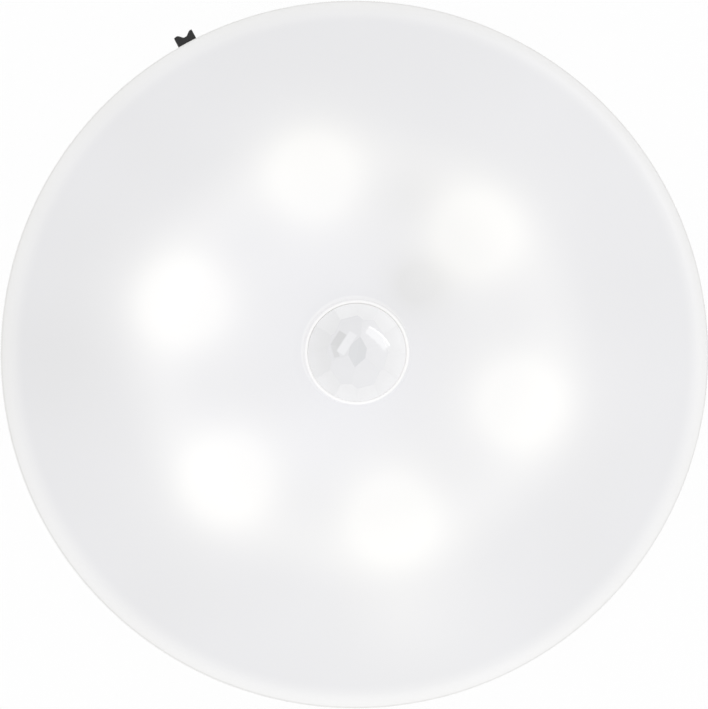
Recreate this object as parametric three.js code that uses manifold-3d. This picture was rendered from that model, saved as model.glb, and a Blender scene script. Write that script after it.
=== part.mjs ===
// Motion sensor night light: a round lamp that runs on three cells and sticks to a wall by magnets.
// Its flat back lies at z = 0, the room is towards +Z, and +Y is up on the wall.
// All lengths are in millimetres.

import * as THREE from 'three';
import { ConvexGeometry } from 'three/addons/geometries/ConvexGeometry.js';
import { mergeVertices } from 'three/addons/utils/BufferGeometryUtils.js';
import Module from 'manifold-3d';

const wasm = await Module();
wasm.setup();

// Fits and facets that all the pieces share
const clearance = 0.3;
const seatGap = 0.1;
const overrun = 2;
const ringSides = 64;
const roundSides = 32;
const smallSides = 24;
const holeSides = 12;
const pinSides = 8;
const cornerSteps = 3;

// Diffuser: a milky dome with a lip round the lens and a tongue that snaps into the housing
const outerRadius = 42.5;
const diffuserWall = 1.2;
const crownRadius = 180;
const rimRadius = 2.5;
const glowHeight = 8.3;
const lensHoleRadius = 5.8;
const lipWidth = 0.45;
const lipHeight = 0.5;
const tongueThickness = 1.2;
const tongueDepth = 2.2;
const lugReach = 0.6;
const lugHeight = 0.8;
const lugLift = 0.4;
const lugLength = 8;
const lugCount = 3;

// Base housing
const housingWall = 1.8;
const housingStep = 0.3;
const housingTaper = 1.2;
const backFillet = 2;
const bossRadius = 3;
const bossBoreRadius = 1.4;
const bossInset = 5.3;
const boreBelowScrew = 1;

// Battery cells, size AAA
const cellDiameter = 10.5;
const cellLength = 44.5;
const cellShoulder = 0.5;
const nubDiameter = 3.8;
const nubHeight = 0.8;
const cellGap = 0.5;
const cellCount = 3;

// Battery contacts and their conical springs
const contactThickness = 0.4;
const contactMargin = 1;
const dimpleRadius = 2;
const dimpleTopRadius = 1.2;
const dimpleHeight = 0.4;
const tailWidth = 2;
const springLength = 3;
const springWire = 0.4;
const springWideRadius = 3.2;
const springNarrowRadius = 2;
const springTurns = 3;
const springStepsPerTurn = 8;
const springSides = 5;

// Battery bay and its door
const doorInset = 0.2;
const doorThickness = 1.3;
const doorLap = 0.9;
const bayWall = 1.5;
const bayRoof = 1;
const bayCorner = 1;
const hookSpacing = 30;
const hookWidth = 5;
const hookStem = 1;
const hookThickness = 1;
const hookHold = 1.2;
const doorRibWidth = 1;
const doorRibHeight = 1;
const doorRibMargin = 4;
const latchWidth = 10;
const latchSlotWidth = 0.8;
const latchSlotLength = 8;
const latchFingerThickness = 1;
const latchFingerHeight = 2;
const latchFingerMargin = 1;
const latchBeadReach = 0.3;
const latchBeadHeight = 0.8;
const gripWidth = 12;
const gripDepth = 0.4;
const gripGroove = 0.8;
const gripPitch = 1.8;
const gripCount = 3;
const gripMargin = 2.2;
const scallopRadius = 5;
const scallopDepth = 1.2;

// Magnets in the back
const magnetDiameter = 10;
const magnetThickness = 2;
const magnetEdge = 0.3;
const magnetInset = 0.2;
const magnetCupWall = 1;
const magnetMargin = 2.4;

// Circuit board and its screws
const boardThickness = 1;
const boardLift = 0.6;
const screwHeadRadius = 2.3;
const screwHeadEdge = 0.7;
const screwHeadHeight = 1.6;
const screwShankRadius = 1.1;
const screwLength = 8;
const screwTip = 1.5;
const screwSlotWidth = 0.5;
const screwSlotLength = 2.6;
const screwSlotDepth = 0.8;
const screwCount = 3;

// Light-emitting diodes, six in a ring
const ledRingRadius = 21.7;
const ledLength = 3.5;
const ledWidth = 2.8;
const ledHeight = 0.7;
const ledCount = 6;
const ledStartDegrees = 43.8;

// Motion sensor in its metal can, the shroud round it and the lens over it
const canRadius = 4.15;
const canFlangeRadius = 4.6;
const canWall = 0.3;
const canHeight = 4.2;
const headerThickness = 0.6;
const headerStandoff = 0.5;
const headerPinRadius = 0.25;
const headerPinCircle = 2.5;
const headerPinCount = 3;
const windowLength = 4;
const windowWidth = 3;
const windowThickness = 0.4;
const windowBorder = 0.4;
const shroudRadius = 7.6;
const shroudWall = 1.4;
const lensGap = 0.15;
const lensWall = 0.6;
const lensDomeRise = 3.07;
const lensDomeDrop = 0.1;
const lensFlangeReach = 1.3;
const lensFlangeThickness = 0.8;
const lensCells = [
  { count: 6, radiusShare: 0.27 },
  { count: 12, radiusShare: 0.72 },
  { count: 12, radiusShare: 1 },
];

// Light sensor under the diffuser
const lightSensorLength = 5.1;
const lightSensorWidth = 4.3;
const lightSensorThickness = 2.1;
const lightSensorStandoff = 3.1;
const lightSensorPlace = 10.5;
const lightSensorDegrees = 50.4;
const lightSensorLegRadius = 0.25;
const lightSensorLegSpacing = 3.4;

// Slide switch at the edge of the board
const switchDegrees = 118.2;
const switchInset = 0.4;
const switchWall = 0.3;
const switchBaseThickness = 0.9;
const switchPinRadius = 0.3;
const switchPinPitch = 2;
const switchPinCount = 4;
const carriageWidth = 4.8;
const carriageDepth = 3.2;
const knobTravel = 2;
const knobWidth = 2.4;
const knobThickness = 1.5;
const knobReach = 1.9;
const knobValleyDepth = 0.48;
const knobValleyShare = 0.27;
const knobValleySteps = 8;
const wiperLength = 4;
const wiperWidth = 1.2;
const wiperThickness = 0.2;
const wiperFoot = 0.8;
const wiperRise = 0.15;

// Parts on the underside of the board, outside the battery bay
const boardPartMargin = 6;
const capacitorRadius = 2.5;
const capacitorHeight = 5.5;
const capacitorMargin = 1;
const chipLength = 4.9;
const chipWidth = 3.9;
const chipThickness = 1.5;
const chipPlace = -6;
const regulatorLength = 2.9;
const regulatorWidth = 1.6;
const regulatorThickness = 1.1;
const regulatorPlace = -15;
const resistorLength = 2;
const resistorWidth = 1.25;
const resistorThickness = 0.6;
const resistorPitch = 3.5;
const resistorPlace = 2;
const resistorCount = 4;

// Heights, from the back to the room
const ledgeHeight = doorInset + doorThickness + clearance;
const cellRadius = cellDiameter / 2;
const cellPitch = cellDiameter + cellGap;
const contactSide = cellDiameter - 2 * contactMargin;
const cellAxisHeight = ledgeHeight + clearance + cellRadius;
const bayCeiling = cellAxisHeight + cellRadius + clearance;
const bayTop = bayCeiling + bayRoof;
const boardBottom = bayTop + boardLift;
const boardTop = boardBottom + boardThickness;
const crownApex = boardTop + glowHeight;

// Heights of the slide switch, which hangs under the board
const switchTop = boardBottom - clearance;
const switchBaseBottom = switchTop - switchBaseThickness;
const knobTop = switchBaseBottom - clearance - wiperThickness - seatGap;
const knobBottom = knobTop - knobThickness;
const switchBottom = knobBottom - clearance - switchWall;

// Heights and radii of the seam between housing and diffuser
const wallTop = knobTop + clearance;
const skirtBottom = wallTop + clearance;
const tongueBottom = wallTop - tongueDepth;
const housingTopRadius = outerRadius - housingStep;
const housingBackRadius = housingTopRadius - housingTaper;
const housingInnerRadius = housingTopRadius - housingWall;
const trayInnerRadius = housingBackRadius - housingWall;
const tongueRadius = housingInnerRadius - clearance;
const tongueInnerRadius = tongueRadius - tongueThickness;
const boardRadius = tongueInnerRadius - 2 * clearance;
const bossPlace = boardRadius - bossInset;

// Plan of the battery bay
const bayHalfLength = (cellLength + springLength + dimpleHeight + 2 * contactThickness + 5 * seatGap) / 2;
const bayHalfWidth = (cellPitch * (cellCount - 1)) / 2 + cellRadius + clearance;
const bayOuterHalfLength = bayHalfLength + bayWall;
const bayOuterHalfWidth = bayHalfWidth + bayWall;
const recessHalfLength = bayHalfLength + doorLap;
const recessHalfWidth = bayHalfWidth + doorLap;
const hingeLine = -recessHalfWidth;
const hookBottom = ledgeHeight + clearance;
const hookTop = hookBottom + hookThickness;
const magnetPocketRadius = magnetDiameter / 2 + clearance;
const magnetCupRadius = magnetPocketRadius + magnetCupWall;
const magnetPocketTop = magnetInset + magnetThickness + clearance;
const magnetPlace = trayInnerRadius - magnetMargin - magnetCupRadius;

// Plan of the switch, along its own radius
const switchFront = boardRadius - switchInset;
const switchDepth = carriageDepth + 2 * (clearance + switchWall);
const switchMiddle = switchFront - switchDepth / 2;
const switchHalfWidth = carriageWidth / 2 + knobTravel + clearance + switchWall;
const knobSlotHalfWidth = knobWidth / 2 + knobTravel + clearance;
const switchTurn = THREE.MathUtils.degToRad(switchDegrees) - Math.PI / 2;

// The crown is an arc about a centre on the axis, and the rim an arc that runs into it
const crownCentre = crownApex - crownRadius;
const rimCentreRadius = outerRadius - rimRadius;
const rimPolar = Math.asin(rimCentreRadius / (crownRadius - rimRadius));
const rimCentre = crownCentre + (crownRadius - rimRadius) * Math.cos(rimPolar);

// Height of a crown surface of the given radius above a point this far from the axis
function crownHeight(surfaceRadius, place) {
  return crownCentre + Math.sqrt(surfaceRadius * surfaceRadius - place * place);
}

// Heights of the lens, which hangs from the inside of the crown by its flange; its dome starts
// just below the top of the lip round it
const innerCrownRadius = crownRadius - diffuserWall;
const lipOuterRadius = lensHoleRadius + lipWidth;
const lipTop = crownHeight(crownRadius, lipOuterRadius) + lipHeight;
const lensNeckRadius = lensHoleRadius - lensGap;
const lensFlangeRadius = lensHoleRadius + lensFlangeReach;
const lensFlangeTop = crownHeight(innerCrownRadius, lensFlangeRadius) - seatGap;
const lensFlangeBottom = lensFlangeTop - lensFlangeThickness;
const lensApex = lipTop - lensDomeDrop + lensDomeRise;
const lensDomeRadius = (lensNeckRadius ** 2 + lensDomeRise ** 2) / (2 * lensDomeRise);
const lensDomeCentre = lensApex - lensDomeRadius;
const lensNeckPolar = Math.asin(lensNeckRadius / lensDomeRadius);

// Finishes
const finishes = {
  whitePlastic: { color: '#efeeee', roughness: 0.45, metalness: 0 },
  milkyPlastic: { color: '#ecebed', roughness: 0.35, metalness: 0 },
  lensPlastic: { color: '#e6e5e8', roughness: 0.3, metalness: 0 },
  blackPlastic: { color: '#2f2e30', roughness: 0.5, metalness: 0 },
  boardWhite: { color: '#e9e8e2', roughness: 0.55, metalness: 0 },
  ledPhosphor: { color: '#f4e58c', roughness: 0.4, metalness: 0 },
  steel: { color: '#b9bbbd', roughness: 0.35, metalness: 1 },
  brass: { color: '#b79a5b', roughness: 0.35, metalness: 1 },
  smokedGlass: { color: '#3c3a42', roughness: 0.1, metalness: 0 },
  ceramic: { color: '#d98f4e', roughness: 0.5, metalness: 0 },
  cellWrap: { color: '#c6c9cc', roughness: 0.3, metalness: 0.6 },
  darkSleeve: { color: '#23242a', roughness: 0.4, metalness: 0 },
};

// A closed mesh as a solid that can be joined and cut
function solidOf(geometry) {
  const bare = geometry.clone();
  bare.deleteAttribute('normal');
  bare.deleteAttribute('uv');
  const merged = mergeVertices(bare);
  const corners = [];
  for (let i = 0; i < merged.index.count; i += 3) {
    const triangle = [merged.index.getX(i), merged.index.getX(i + 1), merged.index.getX(i + 2)];
    if (new Set(triangle).size === 3) corners.push(...triangle);
  }
  return new wasm.Manifold(new wasm.Mesh({
    numProp: 3,
    vertProperties: merged.attributes.position.array,
    triVerts: new Uint32Array(corners),
  }));
}

// The base shape with the first list of shapes joined on and then the second list cut away
function joinAndCut(base, joined, cut) {
  let solid = solidOf(base);
  for (const shape of joined) solid = solid.add(solidOf(shape));
  for (const shape of cut) solid = solid.subtract(solidOf(shape));
  const mesh = solid.getMesh();
  const geometry = new THREE.BufferGeometry();
  geometry.setAttribute('position', new THREE.BufferAttribute(mesh.vertProperties, 3));
  geometry.setIndex(new THREE.BufferAttribute(mesh.triVerts, 1));
  geometry.computeVertexNormals();
  return geometry;
}

// A solid turned about Z from an outline of [radius, height] points, which are put in
// the order that faces outwards; an outline clear of the axis is closed on itself
function turned(outline, sides) {
  let doubleArea = 0;
  outline.forEach(([radius, height], i) => {
    const [nextRadius, nextHeight] = outline[(i + 1) % outline.length];
    doubleArea += radius * nextHeight - nextRadius * height;
  });
  const ordered = doubleArea < 0 ? outline.toReversed() : outline;
  const closed = ordered[0][0] > 0 ? [...ordered, ordered[0]] : ordered;
  const geometry = new THREE.LatheGeometry(closed.map((point) => new THREE.Vector2(...point)), sides);
  return geometry.rotateX(Math.PI / 2);
}

// Points of an arc in the plane of a turned outline, with polar angles measured from the axis
function arc(centreRadius, centreHeight, radius, fromPolar, toPolar, steps) {
  const points = [];
  for (let i = 0; i <= steps; i++) {
    const polar = fromPolar + ((toPolar - fromPolar) * i) / steps;
    points.push([centreRadius + radius * Math.sin(polar), centreHeight + radius * Math.cos(polar)]);
  }
  return points;
}

// A box between its lowest and highest corner
function box(low, high) {
  const geometry = new THREE.BoxGeometry();
  const corners = geometry.attributes.position;
  for (let i = 0; i < corners.count; i++) {
    corners.setXYZ(
      i,
      corners.getX(i) > 0 ? high[0] : low[0],
      corners.getY(i) > 0 ? high[1] : low[1],
      corners.getZ(i) > 0 ? high[2] : low[2],
    );
  }
  return geometry;
}

// A box centred over the origin, from one height to another
function block(width, depth, bottom, top) {
  return box([-width / 2, -depth / 2, bottom], [width / 2, depth / 2, top]);
}

// An upright cylinder from one height to another
function post(radius, bottom, top, sides) {
  return turned([[0, bottom], [radius, bottom], [radius, top], [0, top]], sides);
}

// A flat shape drawn out from one height to another
function drawnOut(shape, bottom, top, steps = cornerSteps) {
  const geometry = new THREE.ExtrudeGeometry(shape, {
    depth: top - bottom,
    bevelEnabled: false,
    curveSegments: steps,
  });
  return geometry.translate(0, 0, bottom);
}

// A plate with rounded corners, centred over the origin
function plate(halfLength, halfWidth, corner, bottom, top) {
  const shape = new THREE.Shape();
  const quarter = Math.PI / 2;
  const x = halfLength - corner;
  const y = halfWidth - corner;
  shape.absarc(x, y, corner, 0, quarter);
  shape.absarc(-x, y, corner, quarter, 2 * quarter);
  shape.absarc(-x, -y, corner, 2 * quarter, 3 * quarter);
  shape.absarc(x, -y, corner, 3 * quarter, 4 * quarter);
  return drawnOut(shape, bottom, top);
}

// A block bent round the axis, centred on an angle and this long at its outer radius
function bentBlock(innerRadius, radius, angle, length, bottom, top) {
  const shape = new THREE.Shape();
  const halfAngle = length / radius / 2;
  shape.absarc(0, 0, radius, angle - halfAngle, angle + halfAngle, false);
  shape.absarc(0, 0, innerRadius, angle + halfAngle, angle - halfAngle, true);
  return drawnOut(shape, bottom, top);
}

// An outline of [y, z] points drawn out along X, centred on x = 0
function bar(outline, length) {
  const shape = new THREE.Shape(outline.map((point) => new THREE.Vector2(...point)));
  const alongX = new THREE.Matrix4().makeBasis(
    new THREE.Vector3(0, 1, 0),
    new THREE.Vector3(0, 0, 1),
    new THREE.Vector3(1, 0, 0),
  );
  return drawnOut(shape, -length / 2, length / 2).applyMatrix4(alongX);
}

// The point at this radius and angle
function polarPoint(radius, angle) {
  return new THREE.Vector2(radius * Math.cos(angle), radius * Math.sin(angle));
}

// Places spread evenly round a circle
function ring(count, radius, startAngle) {
  return Array.from({ length: count }, (_, i) => polarPoint(radius, startAngle + (2 * Math.PI * i) / count));
}

// Places in a row along X, centred on the middle
function row(count, pitch) {
  return Array.from({ length: count }, (_, i) => (i - (count - 1) / 2) * pitch);
}

const lamp = new THREE.Group();

// Adds one piece of the lamp, with a material of its own
function addPiece(name, geometry, finish, parent = lamp) {
  const mesh = new THREE.Mesh(geometry, new THREE.MeshStandardMaterial({ ...finish, flatShading: true }));
  mesh.name = name;
  parent.add(mesh);
  return mesh;
}

const lugAngles = Array.from(
  { length: lugCount },
  (_, i) => switchTurn + Math.PI / 2 + (2 * Math.PI * (i + 1 / 2)) / lugCount,
);
const screwPlaces = ring(screwCount, bossPlace, Math.PI);
const headerPins = ring(headerPinCount, headerPinCircle, Math.PI / 2);
const lightSensorCentre = polarPoint(lightSensorPlace, THREE.MathUtils.degToRad(lightSensorDegrees));

// Diffuser

function diffuser() {
  const tipRadius = lipWidth / 2;
  const lipShoulder = lipTop - tipRadius;
  const shell = turned([
    ...arc(0, crownCentre, innerCrownRadius, Math.asin(lensHoleRadius / innerCrownRadius), rimPolar, 4),
    ...arc(rimCentreRadius, rimCentre, rimRadius - diffuserWall, rimPolar, Math.PI / 2, 2).slice(1),
    [outerRadius - diffuserWall, skirtBottom + diffuserWall],
    [tongueInnerRadius, skirtBottom + diffuserWall],
    [tongueInnerRadius, tongueBottom],
    [tongueRadius, tongueBottom],
    [tongueRadius, skirtBottom],
    [outerRadius, skirtBottom],
    ...arc(rimCentreRadius, rimCentre, rimRadius, Math.PI / 2, rimPolar, 4),
    ...arc(0, crownCentre, crownRadius, rimPolar, Math.asin(lipOuterRadius / crownRadius), 6).slice(1),
    ...arc(lensHoleRadius + tipRadius, lipShoulder, tipRadius, Math.PI / 2, -Math.PI / 2, 4),
  ], ringSides);
  const lugBottom = tongueBottom + lugLift;
  const tongueCore = tongueRadius - tongueThickness / 2;
  const lugs = lugAngles.map((angle) =>
    bentBlock(tongueCore, tongueRadius + lugReach, angle, lugLength, lugBottom, lugBottom + lugHeight));
  const notch = box(
    [-knobSlotHalfWidth - clearance, tongueInnerRadius - overrun, tongueBottom - overrun],
    [knobSlotHalfWidth + clearance, tongueRadius + overrun, skirtBottom],
  ).rotateZ(switchTurn);
  return joinAndCut(shell, lugs, [notch]);
}

addPiece('diffuser_dome', diffuser(), finishes.milkyPlastic);

// Base housing

function baseHousing() {
  const tray = turned([
    [0, 0],
    ...arc(housingBackRadius - backFillet, backFillet, backFillet, Math.PI, Math.PI / 2, 4),
    [housingTopRadius, wallTop],
    [housingInnerRadius, wallTop],
    [housingInnerRadius, tongueBottom - clearance],
    [trayInnerRadius, ledgeHeight],
    [0, ledgeHeight],
  ], ringSides);
  const bayBlock = plate(bayOuterHalfLength, bayOuterHalfWidth, bayCorner + bayWall, 0, bayTop);
  const bosses = screwPlaces.map((place) =>
    post(bossRadius, ledgeHeight / 2, boardBottom - seatGap, smallSides).translate(place.x, place.y, 0));
  const cups = [magnetPlace, -magnetPlace].map((place) =>
    post(magnetCupRadius, ledgeHeight / 2, magnetPocketTop + magnetCupWall, roundSides).translate(0, place, 0));

  const bay = plate(bayHalfLength, bayHalfWidth, bayCorner, -overrun, bayCeiling);
  const recess = plate(recessHalfLength, recessHalfWidth, bayCorner + doorLap, -overrun, ledgeHeight);
  const boreBottom = boardTop - screwLength - boreBelowScrew;
  const bores = screwPlaces.map((place) =>
    post(bossBoreRadius, boreBottom, boardBottom + overrun, holeSides).translate(place.x, place.y, 0));
  const pockets = [magnetPlace, -magnetPlace].map((place) =>
    post(magnetPocketRadius, -overrun, magnetPocketTop, roundSides).translate(0, place, 0));
  const scallop = post(scallopRadius, -overrun, scallopDepth, roundSides).translate(0, recessHalfWidth, 0);
  const hookNotches = row(2, hookSpacing).map((x) => box(
    [x - hookWidth / 2 - clearance, -bayOuterHalfWidth - overrun, ledgeHeight],
    [x + hookWidth / 2 + clearance, -bayHalfWidth + overrun, hookTop + 2 * clearance],
  ));
  const tailSlots = [-1, 1].map((side) => box(
    [-bayHalfLength - clearance, cellPitch - tailWidth / 2 - clearance, bayCeiling - overrun],
    [-bayHalfLength + seatGap + contactThickness + clearance, cellPitch + tailWidth / 2 + clearance, bayTop + overrun],
  ).rotateZ(side < 0 ? 0 : Math.PI));
  const lugPockets = lugAngles.map((angle) => bentBlock(
    housingInnerRadius - overrun,
    tongueRadius + lugReach + clearance,
    angle,
    lugLength + 2 * clearance,
    tongueBottom + lugLift - clearance,
    tongueBottom + lugLift + lugHeight + clearance,
  ));
  const knobNotch = box(
    [-knobSlotHalfWidth, tongueInnerRadius, knobBottom - clearance],
    [knobSlotHalfWidth, outerRadius + overrun, wallTop + overrun],
  ).rotateZ(switchTurn);
  return joinAndCut(tray, [bayBlock, ...bosses, ...cups], [
    bay, recess, ...bores, ...pockets, scallop, ...hookNotches, ...tailSlots, ...lugPockets, knobNotch,
  ]);
}

addPiece('base_housing', baseHousing(), finishes.whitePlastic);

// Battery door, which tips out on two hooks along its lower edge

function batteryDoor() {
  const halfLength = recessHalfLength - clearance;
  const halfWidth = recessHalfWidth - clearance;
  const inner = doorInset + doorThickness;
  const middle = doorInset + doorThickness / 2;
  const leaf = plate(halfLength, halfWidth, bayCorner + doorLap - clearance, doorInset, inner);
  const hookProfile = [
    [-halfWidth, middle],
    [-halfWidth + hookStem, middle],
    [-halfWidth + hookStem, hookTop],
    [hingeLine - hookHold, hookTop],
    [hingeLine - hookHold, hookBottom],
    [-halfWidth, hookBottom],
  ];
  const hooks = row(2, hookSpacing).map((x) => bar(hookProfile, hookWidth).translate(x, 0, 0));
  const ribs = row(2, cellPitch).map((y) =>
    block(2 * (bayHalfLength - doorRibMargin), doorRibWidth, middle, inner + doorRibHeight).translate(0, y, 0));
  const fingerFace = bayHalfWidth - clearance - latchBeadReach;
  const fingerTop = inner + latchFingerHeight;
  const finger = bar([
    [fingerFace - latchFingerThickness, middle],
    [fingerFace, middle],
    [fingerFace, fingerTop - latchBeadHeight],
    [fingerFace + latchBeadReach, fingerTop - latchBeadHeight / 2],
    [fingerFace, fingerTop],
    [fingerFace - latchFingerThickness, fingerTop],
  ], latchWidth - 2 * latchFingerMargin);
  const slots = [-1, 1].map((side) =>
    box(
      [-latchSlotWidth / 2, halfWidth - latchSlotLength, -overrun],
      [latchSlotWidth / 2, halfWidth + overrun, inner + overrun],
    ).translate((side * (latchWidth + latchSlotWidth)) / 2, 0, 0));
  const grooves = Array.from({ length: gripCount }, (_, i) => {
    const y = halfWidth - latchSlotLength - gripMargin - i * gripPitch;
    return block(gripWidth, gripGroove, -overrun, doorInset + gripDepth).translate(0, y, 0);
  });
  return joinAndCut(leaf, [...hooks, ...ribs, finger], [...slots, ...grooves]);
}

addPiece('battery_door', batteryDoor(), finishes.whitePlastic);

// Cells, contacts and springs

function cell() {
  const shoulder = cellLength - nubHeight;
  return turned([
    [0, 0],
    [cellRadius - cellShoulder, 0],
    [cellRadius, cellShoulder],
    [cellRadius, shoulder - cellShoulder],
    [cellRadius - cellShoulder, shoulder],
    [nubDiameter / 2, shoulder],
    [nubDiameter / 2, cellLength],
    [0, cellLength],
  ], smallSides);
}

// A contact on the -X wall: a plate, a dimple for each place listed, and a tail up to the board
function contact(centre, width, dimplePlaces, hasTail) {
  const back = -bayHalfLength + seatGap;
  const face = back + contactThickness;
  const bottom = cellAxisHeight - contactSide / 2;
  const top = cellAxisHeight + contactSide / 2;
  const leaf = box([back, centre - width / 2, bottom], [face, centre + width / 2, top]);
  const dimples = dimplePlaces.map((place) =>
    turned([
      [0, -contactThickness / 2],
      [dimpleRadius, -contactThickness / 2],
      [dimpleRadius, 0],
      [dimpleTopRadius, dimpleHeight],
      [0, dimpleHeight],
    ], holeSides).rotateY(Math.PI / 2).translate(face, place, cellAxisHeight));
  const tail = box(
    [back, centre - tailWidth / 2, cellAxisHeight],
    [face, centre + tailWidth / 2, boardBottom - seatGap],
  );
  return joinAndCut(leaf, hasTail ? [...dimples, tail] : dimples, []);
}

// A round wire along a list of points, with flat ends square to its first and last stretch
function wireAlong(points, radius, sides) {
  const last = points.length - 1;
  const positions = [];
  const indices = [];
  let across = new THREE.Vector3(1, 0, 0);
  points.forEach((point, i) => {
    const before = i === 0 ? null : point.clone().sub(points[i - 1]).normalize();
    const after = i === last ? null : points[i + 1].clone().sub(point).normalize();
    const along = (before && after ? before.clone().add(after) : before ?? after).normalize();
    across = across.clone().addScaledVector(along, -across.dot(along)).normalize();
    const third = new THREE.Vector3().crossVectors(along, across);
    for (let k = 0; k < sides; k++) {
      const angle = (2 * Math.PI * k) / sides;
      const corner = point.clone()
        .addScaledVector(across, radius * Math.cos(angle))
        .addScaledVector(third, radius * Math.sin(angle));
      positions.push(corner.x, corner.y, corner.z);
    }
  });
  for (let i = 0; i < last; i++) {
    for (let k = 0; k < sides; k++) {
      const a = i * sides + k;
      const b = i * sides + ((k + 1) % sides);
      indices.push(a, b, b + sides, a, b + sides, a + sides);
    }
  }
  for (let k = 1; k < sides - 1; k++) {
    indices.push(0, k + 1, k);
    indices.push(last * sides, last * sides + k, last * sides + k + 1);
  }
  const geometry = new THREE.BufferGeometry();
  geometry.setAttribute('position', new THREE.Float32BufferAttribute(positions, 3));
  geometry.setIndex(indices);
  geometry.computeVertexNormals();
  return geometry;
}

// A conical spring from its wide seat at z = 0, with straight ends one wire long
function conicalSpring() {
  const steps = springTurns * springStepsPerTurn;
  const rise = springLength - 2 * springWire;
  const points = [new THREE.Vector3(springWideRadius, 0, 0)];
  for (let i = 0; i <= steps; i++) {
    const share = i / steps;
    const radius = springWideRadius + (springNarrowRadius - springWideRadius) * share;
    const place = polarPoint(radius, 2 * Math.PI * springTurns * share);
    points.push(new THREE.Vector3(place.x, place.y, springWire + rise * share));
  }
  const end = points.at(-1);
  points.push(new THREE.Vector3(end.x, end.y, springLength));
  let leastGap = Infinity;
  points.forEach((point, i) => {
    const others = points.slice(i + springStepsPerTurn / 2);
    others.forEach((other) => {
      leastGap = Math.min(leastGap, point.distanceTo(other) - springWire);
    });
  });
  console.log(`battery spring: least gap to itself ${leastGap.toFixed(2)} mm`);
  return wireAlong(points, springWire / 2, springSides);
}

const springSeat = bayHalfLength - 2 * seatGap - contactThickness;
const cellEnd = springSeat - springLength - seatGap;
const springShape = conicalSpring();

// Cells lie in turn with the nub to +X and to -X, and each spring presses on a flat end
function addCell(number) {
  const place = ((cellCount - 1) / 2 - (number - 1)) * cellPitch;
  const side = number % 2 === 1 ? -1 : 1;
  const turn = (-side * Math.PI) / 2;
  const battery = addPiece(`battery_${number}`, cell(), finishes.cellWrap);
  battery.rotation.y = turn;
  battery.position.set(side * cellEnd, place, cellAxisHeight);
  const spring = addPiece(`battery_spring_${number}`, springShape.clone(), finishes.steel);
  spring.rotation.y = turn;
  spring.position.set(side * springSeat, place, cellAxisHeight);
}

for (let number = 1; number <= cellCount; number++) addCell(number);

const bridgeWidth = contactSide + cellPitch;
const rightEnd = new THREE.Group();
rightEnd.rotation.z = Math.PI;
lamp.add(rightEnd);
addPiece('negative_contact', contact(cellPitch, contactSide, [], true), finishes.steel);
addPiece('bridge_contact_left', contact(-cellPitch / 2, bridgeWidth, [0], false), finishes.steel);
addPiece('positive_contact', contact(cellPitch, contactSide, [cellPitch], true), finishes.steel, rightEnd);
addPiece('bridge_contact_right', contact(-cellPitch / 2, bridgeWidth, [-cellPitch], false), finishes.steel, rightEnd);

// Magnets

function magnet() {
  const radius = magnetDiameter / 2;
  const top = magnetInset + magnetThickness;
  return turned([
    [0, magnetInset],
    [radius - magnetEdge, magnetInset],
    [radius, magnetInset + magnetEdge],
    [radius, top - magnetEdge],
    [radius - magnetEdge, top],
    [0, top],
  ], roundSides);
}

addPiece('magnet_upper', magnet(), finishes.steel).position.y = magnetPlace;
addPiece('magnet_lower', magnet(), finishes.steel).position.y = -magnetPlace;

// Circuit board, drilled for its screws and for the pins of what stands on it

const switchPins = row(switchPinCount, switchPinPitch).map((x) =>
  new THREE.Vector2(x, switchMiddle).rotateAround(new THREE.Vector2(), switchTurn));
const lightSensorLegs = row(2, lightSensorLegSpacing).map((x) =>
  new THREE.Vector2(x, 0).add(lightSensorCentre));

function board() {
  const outline = new THREE.Shape().absarc(0, 0, boardRadius, 0, 2 * Math.PI);
  const rim = new THREE.Shape(outline.getPoints(ringSides / 2).slice(0, -1));
  const drill = (places, radius, sides) => places.forEach((place) => {
    const hole = new THREE.Path().absarc(place.x, place.y, radius, 0, 2 * Math.PI);
    rim.holes.push(new THREE.Path(hole.getPoints(sides / 2).slice(0, -1)));
  });
  drill(screwPlaces, screwShankRadius + clearance, holeSides);
  drill(headerPins, headerPinRadius + seatGap, pinSides);
  drill(lightSensorLegs, lightSensorLegRadius + seatGap, pinSides);
  drill(switchPins, switchPinRadius + seatGap, pinSides);
  return drawnOut(rim, boardBottom, boardTop);
}

addPiece('led_board', board(), finishes.boardWhite);

function boardScrew() {
  const seat = boardTop + seatGap;
  const domeRadius = (screwHeadRadius ** 2 + (screwHeadHeight - screwHeadEdge) ** 2)
    / (2 * (screwHeadHeight - screwHeadEdge));
  const body = turned([
    [0, boardTop - screwLength],
    [screwShankRadius, boardTop - screwLength + screwTip],
    [screwShankRadius, seat],
    [screwHeadRadius, seat],
    ...arc(0, seat + screwHeadHeight - domeRadius, domeRadius, Math.asin(screwHeadRadius / domeRadius), 0, 3),
  ], smallSides);
  const top = seat + screwHeadHeight;
  const slot = block(screwSlotLength, screwSlotWidth, top - screwSlotDepth, top + overrun);
  return joinAndCut(body, [], [slot, slot.clone().rotateZ(Math.PI / 2)]);
}

screwPlaces.forEach((place, i) => {
  addPiece(`board_screw_${i + 1}`, boardScrew(), finishes.steel).position.set(place.x, place.y, 0);
});

// Light-emitting diodes, each with its long side along the ring

for (let i = 0; i < ledCount; i++) {
  const angle = THREE.MathUtils.degToRad(ledStartDegrees) + (2 * Math.PI * i) / ledCount;
  const place = polarPoint(ledRingRadius, angle);
  const led = addPiece(`led_${i + 1}`, block(ledWidth, ledLength, 0, ledHeight), finishes.ledPhosphor);
  led.rotation.z = angle;
  led.position.set(place.x, place.y, boardTop + seatGap);
}

// Motion sensor

const headerBottom = boardTop + headerStandoff;
const headerTop = headerBottom + headerThickness;
const canBottom = headerTop + seatGap;
const canTop = canBottom + canHeight;

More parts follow.
